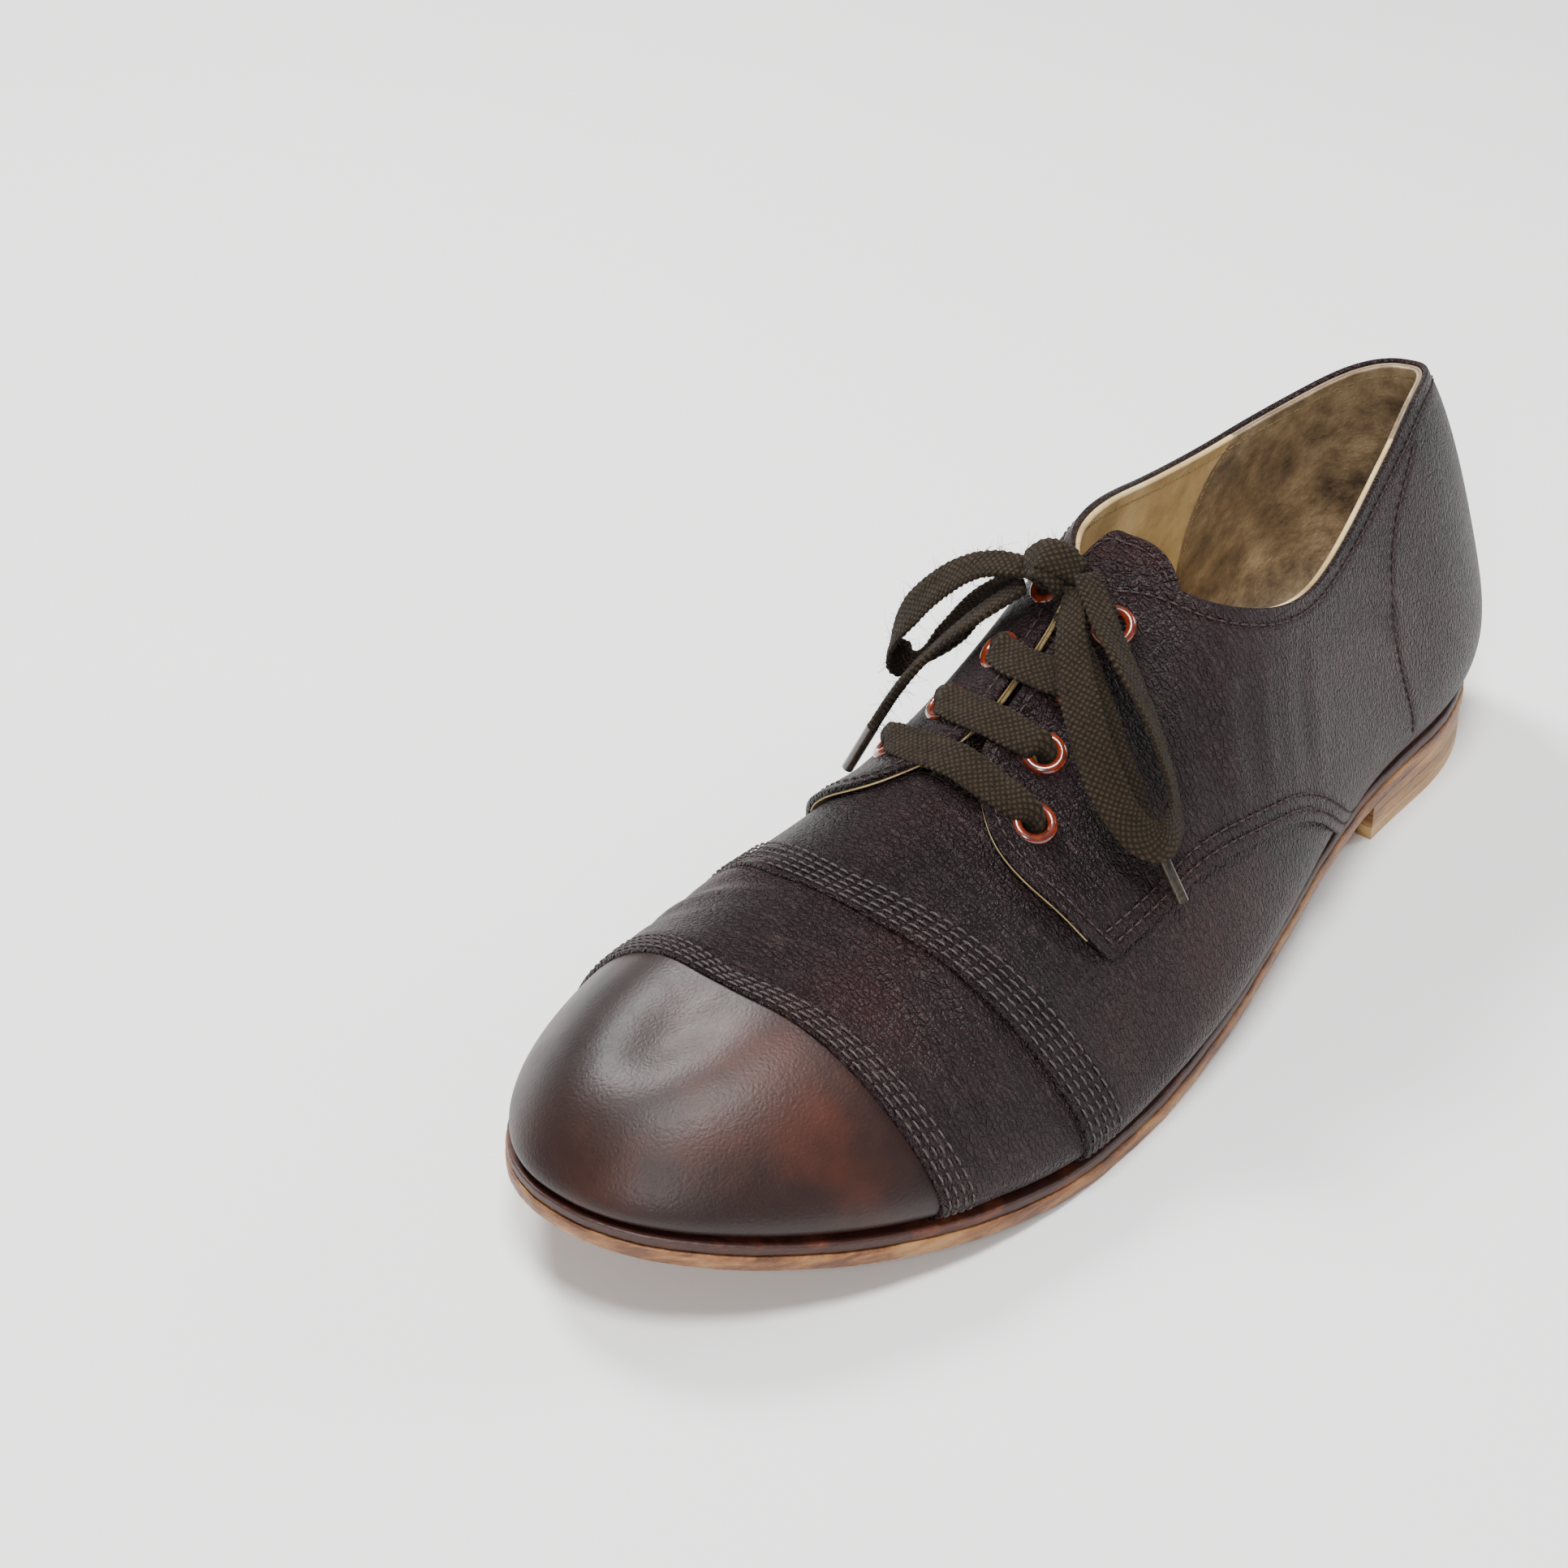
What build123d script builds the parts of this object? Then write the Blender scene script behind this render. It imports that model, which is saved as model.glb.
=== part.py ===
"""Leather lace-up shoe for the left foot: open lacing, stitched toe cap, low stacked heel.

Working frame while the pieces are made: X runs from the back of the heel (0) to the toe,
Y points to the outside of the foot (lateral) and Z is up from the ground.
Every piece is moved at the end so that the origin is the centre of the shoe's footprint.

The upper is described on the surface of the last. A place on it is (run, rise, side):
run is 0 at the heel and 1 at the toe, rise is 0 where the upper meets the sole and 1 on the
crest, side is 1 for lateral and -1 for medial. The last argument of most functions is how
far the place stands outside the last's surface.
"""
from build123d import *
import os
from math import cos, hypot, pi, radians, sin, tan
import numpy as np

os.makedirs("parts", exist_ok=True)

# ---------------------------------------------------------------- driving dimensions, mm
SOLE_LENGTH = 270.0
BALL_WIDTH = 95.5
INSTEP_HEIGHT = 90.0
HEEL_HEIGHT = 9.6
TOE_SPRING = 17.0

OUTSOLE = 3.1
MIDSOLE = 2.3
SOLE_MARGIN = 2.5          # how far the sole stands out past the upper's edge
HEEL_LENGTH = 63.0
TOP_PIECE = 3.0            # the lift that meets the ground
HEEL_NAIL = 1.6            # diameter
HEEL_NAIL_LENGTH = 7.0
INSOLE = 2.0
FILLER = 1.6               # cork under the insole
SOCK = 0.9
SHANK_LENGTH = 96.0
SHANK_WIDTH = 13.0
SHANK = 1.1

GLUE = 0.12                # gap left between glued layers
LEATHER = 1.2
LINING = 0.8
BACKER = 0.7               # interlining between leather and lining
TONGUE = 1.3
TONGUE_CLEAR = 0.35

EYELET_BORE = 4.8
EYELET_FLANGE = 8.6
EYELET_WALL = 0.35
EYELET_RIM = 0.9           # height of the rolled rim
EYELET_CLEAR = 0.1

LACE_WIDTH = 7.5
FACING_ARC = 114.0         # length on the surface from the sole to the crest at the facings
LACE = 1.2                 # thickness of the flat lace
LACE_TUBE = 2.6            # diameter of the lace where it is gathered round
KNOT_DIAMETER = 9.5
KNOT_LENGTH = 10.0
AGLET_DIAMETER = 2.4
AGLET_LENGTH = 12.0
LACE_EXIT = 3.4            # how far the lace stands up out of an eyelet before it turns
LACE_LIFT = 1.3            # gap under the lace where it crosses the facings

LINING_GAP = 0.01          # share of the quarter lining left open beside the heel pieces
PUFF_FOOT = 0.03           # rise of the toe puff's lower edge
PUFF_BACK = 0.004          # share of the run that the toe puff stops short of the cap's seam
PUFF_SKIVE = 0.1           # how much the puff is pared away on each face
BUTT = 0.0012              # share of the run left open where two pieces meet edge to edge

CAP_SEAM = (227.0, 222.5)  # X of the toe cap's seam on the crest and at the sole
VAMP_SEAM = (200.5, 190.3)

# ---------------------------------------------------------------- layers, outward from the last
QUARTER_OUT = 0.6
QUARTER_IN = QUARTER_OUT - LEATHER
VAMP_OUT = QUARTER_IN - GLUE
VAMP_IN = VAMP_OUT - LEATHER
BACKER_OUT = VAMP_IN - GLUE
BACKER_IN = BACKER_OUT - BACKER
LINING_OUT = BACKER_IN - GLUE
LINING_IN = LINING_OUT - LINING
FACING_IN = VAMP_IN                      # the quarter linings fill the vamp's layer
COUNTER_OUT = VAMP_OUT - GLUE / 2
COUNTER_IN = VAMP_OUT - (LEATHER - GLUE) / 2
GRIP_OUT = COUNTER_IN - GLUE
EYELET_BACK = FACING_IN - 0.4 - EYELET_WALL
INNER_RUN_OUT = EYELET_BACK - GLUE
INNER_RUN_IN = INNER_RUN_OUT - LACE
TONGUE_OUT = INNER_RUN_IN - TONGUE_CLEAR
TONGUE_IN = TONGUE_OUT - TONGUE

# ---------------------------------------------------------------- shape of the last
OUTLINE_STATIONS = [0, 0.12, 0.25, 0.40, 0.55, 0.68, 0.80, 0.90, 1.0]
LATERAL_SHARES = [0.304, 0.314, 0.330, 0.414, 0.497, 0.524, 0.503, 0.466, 0.419]
MEDIAL_SHARES = [0.293, 0.298, 0.293, 0.283, 0.377, 0.476, 0.487, 0.466, 0.414]
BOTTOM_STATIONS = [0, 0.222, 0.407, 0.593, 0.678, 0.789, 0.889, 1.0]
HEEL_SHARES = [1.0, 0.875, 0.49, 0.05, 0, 0, 0, 0]
SPRING_SHARES = [0, 0, 0, 0, 0, 0.21, 0.53, 1.0]
CREST_STATIONS = [0.111, 0.222, 0.333, 0.426, 0.500, 0.574, 0.648, 0.741, 0.815, 0.874]
CREST_SHARES = [1.056, 1.078, 1.061, 0.978, 0.822, 0.691, 0.606, 0.540, 0.506, 0.459]
SECTION_STATIONS = [0.111, 0.296, 0.444, 0.574, 0.704, 0.874]
SECTION_POWERS = [2.1, 2.4, 2.3, 1.75, 1.85, 2.1]
LATERAL_BULGES = [6.0, 6.0, 7.5, 7.0, 5.0, 3.0]
MEDIAL_BULGES = [5.0, 4.5, 4.5, 4.0, 4.0, 3.0]
BULGE_RISE = 0.2           # share of the height where the wall bulges most
RUN_TO_RISE = 5.0          # a step in run is about five times as long as the same step in rise
CREST_REACH = 0.35         # share of the way down from the crest that follows the crest's slope
EDGE_INSET = 3.0           # the upper's edge, inside the line that the widths give
HEEL_ROUND, HEEL_POWER = 0.17, 2.3
TOE_ROUND, TOE_POWER = 0.30, 2.25
TOE_DRIFT = -3.0           # the toe leans to the medial side


def natural_spline(xs, ys):
    """Return the natural cubic spline through the points, as a function of x."""
    xs = np.asarray(xs, float)
    ys = np.asarray(ys, float)
    steps = np.diff(xs)
    slopes = np.diff(ys) / steps
    system = np.eye(len(xs))
    turns = np.zeros(len(xs))
    for i in range(1, len(xs) - 1):
        system[i, i - 1:i + 2] = steps[i - 1], 2 * (steps[i - 1] + steps[i]), steps[i]
        turns[i] = 6 * (slopes[i] - slopes[i - 1])
    bends = np.linalg.solve(system, turns)

    def value(x):
        i = min(max(int(np.searchsorted(xs, x)) - 1, 0), len(xs) - 2)
        step, before, after = steps[i], x - xs[i], xs[i + 1] - x
        return float((bends[i] * after ** 3 + bends[i + 1] * before ** 3) / (6 * step)
                     + (ys[i] / step - bends[i] * step / 6) * after
                     + (ys[i + 1] / step - bends[i + 1] * step / 6) * before)
    return value


def path_through(points):
    """Return a smooth curve through (run, rise) points, as a function of 0..1 along it."""
    lengths = [0.0]
    for (x0, y0), (x1, y1) in zip(points, points[1:]):
        lengths.append(lengths[-1] + hypot(RUN_TO_RISE * (x1 - x0), y1 - y0))
    shares = [length / lengths[-1] for length in lengths]
    across = natural_spline(shares, [x for x, _ in points])
    up = natural_spline(shares, [y for _, y in points])
    return lambda share: (across(share), up(share))


half_width = {1: natural_spline(OUTLINE_STATIONS, [BALL_WIDTH * k for k in LATERAL_SHARES]),
              -1: natural_spline(OUTLINE_STATIONS, [BALL_WIDTH * k for k in MEDIAL_SHARES])}
bulge = {1: natural_spline(SECTION_STATIONS, LATERAL_BULGES),
         -1: natural_spline(SECTION_STATIONS, MEDIAL_BULGES)}
section_power = natural_spline(SECTION_STATIONS, SECTION_POWERS)
crest_height = natural_spline(CREST_STATIONS, [INSTEP_HEIGHT * k for k in CREST_SHARES])
bottom_curve = natural_spline(BOTTOM_STATIONS, [HEEL_HEIGHT * heel + TOE_SPRING * toe for heel, toe
                                                in zip(HEEL_SHARES, SPRING_SHARES)])


def bottom_z(x):
    """Underside of the outsole at x: arched at the waist, flat on the ground at the ball."""
    return max(0.0, bottom_curve(x / SOLE_LENGTH))


def edge_z(x):
    """Top of the sole at x, where the upper stands."""
    return bottom_z(x) + OUTSOLE + MIDSOLE


def end_rounding(t):
    """Share of the full width at t along the length, closing both ends round."""
    heel = min(max((HEEL_ROUND - t) / HEEL_ROUND, 0.0), 1.0)
    toe = min(max((t - 1 + TOE_ROUND) / TOE_ROUND, 0.0), 1.0)
    return (1 - heel ** HEEL_POWER) ** (1 / HEEL_POWER) * (1 - toe ** TOE_POWER) ** (1 / TOE_POWER)


def centre_y(t):
    """The outline's middle line, which leans inward towards the toe."""
    return TOE_DRIFT * max(0.0, (t - 0.5) / 0.5) ** 2


def edge_point(run, side, grow=0.0):
    """The line where the upper meets the sole, moved outward by grow."""
    t = (1 - cos(pi * run)) / 2
    inset = EDGE_INSET - grow
    x = inset + (SOLE_LENGTH - 2 * inset) * t
    return Vector(x, centre_y(t) + side * (half_width[side](t) - inset) * end_rounding(t), edge_z(x))


def crest_point(run):
    """The crest line of the last."""
    t = (1 - cos(pi * run)) / 2
    station = CREST_STATIONS[0] + (CREST_STATIONS[-1] - CREST_STATIONS[0]) * t
    return Vector(station * SOLE_LENGTH, centre_y(t), crest_height(station))


def last_point(run, rise, side):
    """A place on the surface of the last."""
    low, high = edge_point(run, side), crest_point(run)
    station = high.X / SOLE_LENGTH
    turn = rise * pi / 2
    power = 2 / section_power(station)
    inward = 1 - max(cos(turn), 0.0) ** power
    upward = sin(turn) ** power
    span = high - low
    bulging = bulge[side](station) / max(hypot(span.X, span.Y), 1.0) * upward / BULGE_RISE
    inward -= bulging * np.exp(1 - upward / BULGE_RISE) * (1 - upward)
    ahead = -span.X * (1 - inward) * np.exp(-((1 - inward) / CREST_REACH) ** 2)
    top = crest_height(station + ahead / SOLE_LENGTH)
    return Vector(low.X + span.X * inward, low.Y + span.Y * inward, low.Z + (top - low.Z) * upward)


def outward(run, rise, side):
    """Unit normal of the last: level at the sole's edge and in the middle plane at the ends."""
    step = 0.004
    along = last_point(min(run + step, 1), rise, side) - last_point(max(run - step, 0), rise, side)
    up_from, up_to = min(max(rise - step, step), 1 - 2 * step), min(max(rise + step, 3 * step), 1 - step)
    up = last_point(run, up_to, side) - last_point(run, up_from, side)
    normal = (up.cross(along) * side).normalized()
    level = min(rise / 0.08, 1.0)
    flat = 0.0 if run in (0, 1) or rise >= 1 else 1.0
    return Vector(normal.X, normal.Y * flat, normal.Z * level * level * (3 - 2 * level)).normalized()


def upper_point(run, rise, side, out):
    """A place that stands out from the last, its lower edge kept on top of the sole."""
    foot = last_point(run, rise, side)
    place = foot + outward(run, rise, side) * out
    return place + Vector(0, 0, (edge_z(place.X) - edge_z(foot.X)) * (1 - rise) ** 2)


# ---------------------------------------------------------------- pattern lines of the upper
def across_line(points):
    """A line across the shoe: run as a function of signed distance from the crest, -1..1."""
    line = natural_spline([distance for distance, _ in points], [run for _, run in points])
    return lambda across: line(abs(across))


def arc_line(crest_x, edge_x):
    """A seam that crosses the shoe in a shallow arc, from its place on the crest and at the sole."""
    distances = np.linspace(0, 1, 21)
    runs = []
    for distance in distances:
        wanted = crest_x + (edge_x - crest_x) * sin(distance * pi / 2) ** 2
        low, high = 0.4, 0.95
        for _ in range(40):
            middle = (low + high) / 2
            low, high = (middle, high) if last_point(middle, 1 - distance, 1).X < wanted else (low, middle)
        runs.append(low)
    return across_line(list(zip(distances, runs)))


cap_seam = arc_line(*CAP_SEAM)
vamp_seam = arc_line(*VAMP_SEAM)
vamp_rear = across_line([(0, 0.606), (0.2, 0.604), (0.3, 0.600), (0.4, 0.588), (0.5, 0.560), (0.6, 0.511),
                         (0.8, 0.432), (1, 0.365)])
lining_rear = across_line([(0, 0.614), (0.2, 0.611), (0.4, 0.597), (0.5, 0.573), (0.6, 0.528),
                           (0.8, 0.452), (1, 0.385)])
TOPLINE = {
    1: [(0, 0.62), (0.12, 0.655), (0.20, 0.637), (0.285, 0.535), (0.350, 0.455), (0.388, 0.455),
        (0.417, 0.505), (0.440, 0.59), (0.458, 0.71), (0.468, 0.84), (0.476, 0.93)],
    -1: [(0, 0.62), (0.12, 0.56), (0.175, 0.51), (0.245, 0.467), (0.322, 0.475), (0.372, 0.53),
         (0.415, 0.63), (0.448, 0.75), (0.465, 0.85), (0.476, 0.93)]}
QUARTER_FRONT = [(0.588, 0.397), (0.598, 0.48), (0.605, 0.553), (0.613, 0.643), (0.615, 0.76),
                 (0.606, 0.85), (0.595, 0.915), (0.572, 0.958), (0.54, 0.968), (0.50, 0.968), (0.476, 0.93)]
QUARTER_FOOT = [(0, 0), (0.12, 0), (0.24, 0), (0.34, 0), (0.37, 0.008), (0.395, 0.04), (0.42, 0.105),
                (0.445, 0.17), (0.473, 0.233), (0.50, 0.30), (0.525, 0.35), (0.55, 0.373), (0.588, 0.397)]
LINING_FOOT = [(0.29, 0), (0.32, 0), (0.345, 0.004), (0.37, 0.035), (0.395, 0.11), (0.422, 0.2),
               (0.498, 0.4), (0.536, 0.48)]
LINING_FRONT = [(0.536, 0.48), (0.560, 0.55), (0.575, 0.64), (0.585, 0.76), (0.585, 0.87), (0.568, 0.94),
                (0.54, 0.962), (0.50, 0.962)]
HEEL_PANEL = [(0.29, 0), (0.303, 0.2), (0.290, 0.36)]      # up the heel, towards the topline
HEEL_PANEL_TOP = {1: 0.245, -1: 0.262}
TONGUE_SIDE = [(0.604, 0.30), (0.56, 0.37), (0.51, 0.40), (0.470, 0.34)]
TONGUE_END = [(0.470, 0.34), (0.452, 0.18), (0.448, 0), (0.452, -0.18), (0.470, -0.34)]


RELAX_ROUNDS = 1500


def relaxed(chart, rows, columns):
    """The chart on a fixed grid, its inner places spread evenly so that it never folds over."""
    table = np.array([[chart(a, b)[:2] for a in np.linspace(0, 1, columns)]
                      for b in np.linspace(0, 1, rows)])
    table[..., 0] *= RUN_TO_RISE
    for _ in range(RELAX_ROUNDS):
        along = (table[1:-1, 2:] - table[1:-1, :-2]) / 2
        up = (table[2:, 1:-1] - table[:-2, 1:-1]) / 2
        shear = (along * up).sum(axis=2, keepdims=True)
        spread, climb = (along ** 2).sum(axis=2, keepdims=True), (up ** 2).sum(axis=2, keepdims=True)
        corners = table[2:, 2:] - table[2:, :-2] - table[:-2, 2:] + table[:-2, :-2]
        table[1:-1, 1:-1] = (climb * (table[1:-1, 2:] + table[1:-1, :-2])
                             + spread * (table[2:, 1:-1] + table[:-2, 1:-1])
                             - shear * corners / 2) / (2 * (spread + climb))
    table[..., 0] /= RUN_TO_RISE
    side = chart(0.5, 0.5)[2]
    return lambda a, b: (*table[round(b * (rows - 1)), round(a * (columns - 1))], side)


def solid_between(chart, out, inside, rows, columns):
    """Closed sheet between two heights over the last; chart(a, b) gives a place on it."""
    skins = []
    for height in (out, inside):
        grid = [[upper_point(*chart(a, b), height) for a in np.linspace(0, 1, columns)]
                for b in np.linspace(0, 1, rows)]
        skins.append(Face.make_surface_from_array_of_points(grid, tol=0.01))
    walls = []
    for edge in skins[0].edges():
        partner = min(skins[1].edges(), key=lambda other: (other @ 0.5 - edge @ 0.5).length)
        walls.append(Face.make_surface_from_curves(edge, partner))
    return Solid(Shell(skins + walls))


def between_lines(rear, front):
    """Chart of a panel that crosses the crest between two across-lines."""
    def chart(a, b):
        across = 1 - 2 * a
        run = rear(across) + (front(across) - rear(across)) * b
        return run, 1 - abs(across), 1 if across >= 0 else -1
    return chart


def patch(bottom, top, left, right, a, b):
    """Coons patch between four edge curves given as functions of 0..1."""
    low = np.array(bottom(a)) * (1 - b) + np.array(top(a)) * b
    sides = np.array(left(b)) * (1 - a) + np.array(right(b)) * a
    corners = (np.array(left(0)) * (1 - a) + np.array(right(0)) * a) * (1 - b)
    corners = corners + (np.array(left(1)) * (1 - a) + np.array(right(1)) * a) * b
    return low + sides - corners


def plan_place(run, across):
    """Plan position of a place that is a share across from the crest to the edge."""
    crest, edge = crest_point(run), edge_point(run, 1 if across >= 0 else -1)
    return crest.X + (edge.X - crest.X) * abs(across), crest.Y + (edge.Y - crest.Y) * abs(across)


def plan_inverse(x, y):
    """The (run, rise, side) whose plan position is x, y, in the front half of the shoe."""
    low, high = 0.3, 1.0
    share = (x / SOLE_LENGTH - CREST_STATIONS[0]) / (CREST_STATIONS[-1] - CREST_STATIONS[0])
    side = 1 if y >= centre_y(min(max(share, 0.0), 1.0)) else -1
    for _ in range(30):
        run = (low + high) / 2
        crest, edge = crest_point(run), edge_point(run, side)
        turn = (edge.X - crest.X) * (y - crest.Y) - (edge.Y - crest.Y) * (x - crest.X)
        low, high = (run, high) if turn * side < 0 else (low, run)
    reach = hypot(edge.X - crest.X, edge.Y - crest.Y)
    return run, max(0.0, 1 - hypot(x - crest.X, y - crest.Y) / reach), side


def toe_chart(rear, foot=0.0, tip_run=0.90):
    """Chart of a panel from an across-line forward round the whole toe, its lower edge at a rise of foot."""
    def side_edge(side):
        return lambda k: plan_place(rear(1) + (tip_run - rear(1)) * k, side)

    def tip(k):
        return plan_place(1 - (1 - tip_run) * abs(2 * k - 1), 1 if k <= 0.5 else -1)

    def rear_edge(k):
        return plan_place(rear(1 - 2 * k), 1 - 2 * k)

    def chart(a, b):
        run, rise, side = plan_inverse(*patch(rear_edge, tip, side_edge(1), side_edge(-1), a, b))
        return run, foot + (1 - foot) * (0.0 if b == 1 or a in (0, 1) else rise), side
    return chart


def share_at(path, run):
    """How far along a path its run value is reached."""
    low, high = 0.0, 1.0
    for _ in range(40):
        middle = (low + high) / 2
        low, high = (middle, high) if path(middle)[0] < run else (low, middle)
    return low


def part_of(path, start, end):
    """The stretch of a path between two shares of it."""
    return lambda k: path(start + (end - start) * k)


def quarter_chart(side):
    """Chart of an outer quarter: heel seam, topline, facing, and the foot over the vamp."""
    foot, front, top = (path_through(line) for line in (QUARTER_FOOT, QUARTER_FRONT, TOPLINE[side]))

    def chart(a, b):
        run, rise = patch(foot, top, lambda k: (0, TOPLINE[side][0][1] * k), front, a, b)
        return max(0.0, run), max(0.0, rise), side
    return chart


def heel_line(side):
    """The line that the heel pieces end on, from the sole to the topline."""
    top = path_through(TOPLINE[side])
    return path_through(HEEL_PANEL + [top(share_at(top, HEEL_PANEL_TOP[side]))])


def quarter_lining_chart(side):
    """Chart of a quarter lining: from the heel line forward to the vamp and the facing."""
    top = path_through(TOPLINE[side])
    edge = part_of(top, share_at(top, HEEL_PANEL_TOP[side]), 1)
    front = path_through(LINING_FRONT + [top(1)])
    foot = path_through(LINING_FOOT)
    rear = heel_line(side)

    def chart(a, b):
        run, rise = patch(foot, edge, rear, front, LINING_GAP + (1 - LINING_GAP) * a, b)
        return run, max(0.0, rise), side
    return chart


def heel_chart():
    """Chart of a piece round the heel: signed run from the medial to the lateral heel line."""
    tops = {side: path_through(TOPLINE[side]) for side in (1, -1)}

    def signed(path, side):
        return lambda k: (side * path(k)[0], path(k)[1])

    def top(k):
        side = 1 if k >= 0.5 else -1
        stretch = part_of(tops[side], 0, share_at(tops[side], HEEL_PANEL_TOP[side]))
        return signed(stretch, side)(abs(2 * k - 1))

    def chart(a, b):
        reach = HEEL_PANEL[0][0]
        run, rise = patch(lambda k: (reach * (2 * k - 1), 0), top, signed(heel_line(-1), -1),
                          signed(heel_line(1), 1), a, b)
        return abs(run), max(0.0, rise), 1 if run >= 0 else -1
    return chart


def tongue_chart(a, b):
    """Chart of the tongue: from the throat back to its rounded end."""
    side_line = path_through(TONGUE_SIDE)
    run, across = patch(lambda k: (TONGUE_SIDE[0][0], TONGUE_SIDE[0][1] * (1 - 2 * k)),
                        path_through(TONGUE_END), side_line,
                        lambda k: (side_line(k)[0], -side_line(k)[1]), a, b)
    return run, 1 - abs(across), 1 if across >= 0 else -1


def solid_between(chart, out, inside, rows, columns):
    """Closed sheet between two heights over the last; chart(a, b) gives a place on it."""
    skins = []
    for height in (out, inside):
        grid = [[upper_point(*chart(a, b), height) for a in np.linspace(0, 1, columns)]
                for b in np.linspace(0, 1, rows)]
        skins.append(Face.make_surface_from_array_of_points(grid, tol=0.01))
    walls = []
    for edge in skins[0].edges():
        partner = min(skins[1].edges(), key=lambda other: (other @ 0.5 - edge @ 0.5).length)
        walls.append(Face.make_surface_from_curves(edge, partner))
    return Solid(Shell(skins + walls))


# ---------------------------------------------------------------- upper
def behind(line, gap):
    """An across-line moved back by a gap, given as a share of the run."""
    return lambda across: line(across) - gap


pieces = {}
pieces["toe_cap"] = solid_between(toe_chart(cap_seam), VAMP_OUT, VAMP_IN, 19, 37)
pieces["toe_puff"] = solid_between(toe_chart(behind(cap_seam, -PUFF_BACK), PUFF_FOOT),
                                   BACKER_OUT - PUFF_SKIVE, BACKER_IN + PUFF_SKIVE, 19, 37)
pieces["toe_lining"] = solid_between(toe_chart(cap_seam), LINING_OUT, LINING_IN, 19, 37)
pieces["middle_vamp"] = solid_between(between_lines(vamp_seam, behind(cap_seam, BUTT)),
                                      VAMP_OUT, VAMP_IN, 11, 49)
pieces["vamp"] = solid_between(between_lines(vamp_rear, behind(vamp_seam, BUTT)), VAMP_OUT, VAMP_IN, 17, 57)
under_vamp = between_lines(lining_rear, behind(cap_seam, BUTT))
pieces["vamp_backer"] = solid_between(under_vamp, BACKER_OUT, BACKER_IN, 21, 57)
pieces["vamp_lining"] = solid_between(under_vamp, LINING_OUT, LINING_IN, 21, 57)
pieces["heel_counter"] = solid_between(heel_chart(), COUNTER_OUT, COUNTER_IN, 15, 41)
pieces["heel_grip"] = solid_between(heel_chart(), GRIP_OUT, VAMP_IN, 15, 41)
pieces["tongue"] = solid_between(tongue_chart, TONGUE_OUT, TONGUE_IN, 17, 25)

SIDE_NAMES = {1: "lateral", -1: "medial"}
EYELETS = {1: [(0.590, 0.713), (0.562, 0.805), (0.528, 0.840), (0.495, 0.862)],
           -1: [(0.572, 0.645), (0.553, 0.750), (0.524, 0.832), (0.489, 0.880)]}


def eyelet_plane(place, side):
    """Plane at an eyelet, its Z axis pointing out of the leather."""
    return Plane(origin=upper_point(*place, side, 0), z_dir=outward(*place, side))


def eyelet(plane):
    """Metal eyelet: a tube through the facing with a rolled rim outside and a flat one inside."""
    bore, tube, flange = EYELET_BORE / 2, EYELET_BORE / 2 + EYELET_WALL, EYELET_FLANGE / 2
    seat = QUARTER_OUT + GLUE
    with BuildPart() as ring:
        with BuildSketch(Plane.XZ):
            with BuildLine():
                Polyline((bore, seat + EYELET_RIM / 2), (bore, EYELET_BACK), (flange - 0.6, EYELET_BACK),
                         (flange - 0.6, EYELET_BACK + EYELET_WALL), (tube, EYELET_BACK + EYELET_WALL),
                         (tube, seat), (flange, seat))
                ThreePointArc((flange, seat), ((bore + flange) / 2, seat + EYELET_RIM),
                              (bore, seat + EYELET_RIM / 2))
            make_face()
        revolve(axis=Axis.Z)
    return plane * ring.part


def eyelet_hole(plane):
    """What is punched out of the facing for an eyelet."""
    return plane * Cylinder(EYELET_BORE / 2 + EYELET_WALL + EYELET_CLEAR, 8)


for side, name in SIDE_NAMES.items():
    quarter = solid_between(relaxed(quarter_chart(side), 21, 49), QUARTER_OUT, QUARTER_IN, 21, 49)
    lining = solid_between(relaxed(quarter_lining_chart(side), 21, 37), VAMP_OUT, VAMP_IN, 21, 37)
    planes = [eyelet_plane(place, side) for place in EYELETS[side]]
    for plane in planes:
        quarter -= eyelet_hole(plane)
        lining -= eyelet_hole(plane)
    pieces[f"{name}_quarter"] = quarter
    pieces[f"{name}_quarter_lining"] = lining
    pieces[f"{name}_eyelets"] = Compound([eyelet(plane) for plane in planes])

# ---------------------------------------------------------------- sole, heel and insole
HIGH = 60.0                # taller than any sole piece
WIDE = 800.0               # wider and longer than the shoe
OUTLINE_STEPS = 22


def outline_prism(grow, low=-HIGH, high=HIGH):
    """Upright prism on the sole outline moved outward by grow."""
    runs = [k / OUTLINE_STEPS for k in range(OUTLINE_STEPS + 1)]
    ring = [edge_point(run, 1, grow) for run in runs]
    ring += [edge_point(run, -1, grow) for run in reversed(runs[1:-1])]
    with BuildPart() as prism:
        with BuildSketch(Plane.XY.offset(low)):
            with BuildLine():
                Spline(*[(place.X, place.Y) for place in ring], periodic=True)
            make_face()
        extrude(amount=high - low)
    return prism.part


def side_slab(low, high, start=-8.0, end=SOLE_LENGTH + 8.0):
    """Slab across the whole shoe between two heights given as functions of x."""
    stations = np.linspace(start, end, 36)
    with BuildPart() as slab:
        with BuildSketch(Plane.XZ):
            with BuildLine():
                Spline(*[(x, low(x)) for x in stations])
                Spline(*[(x, high(x)) for x in stations])
                Line((start, low(start)), (start, high(start)))
                Line((end, low(end)), (end, high(end)))
            make_face()
        extrude(amount=BALL_WIDTH, both=True)
    return slab.part


def over_edge(height):
    """Height above the top of the sole, as a function of x."""
    return lambda x: edge_z(x) + height


def over_bottom(height):
    """Height above the underside of the outsole, as a function of x."""
    return lambda x: bottom_z(x) + height


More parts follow.
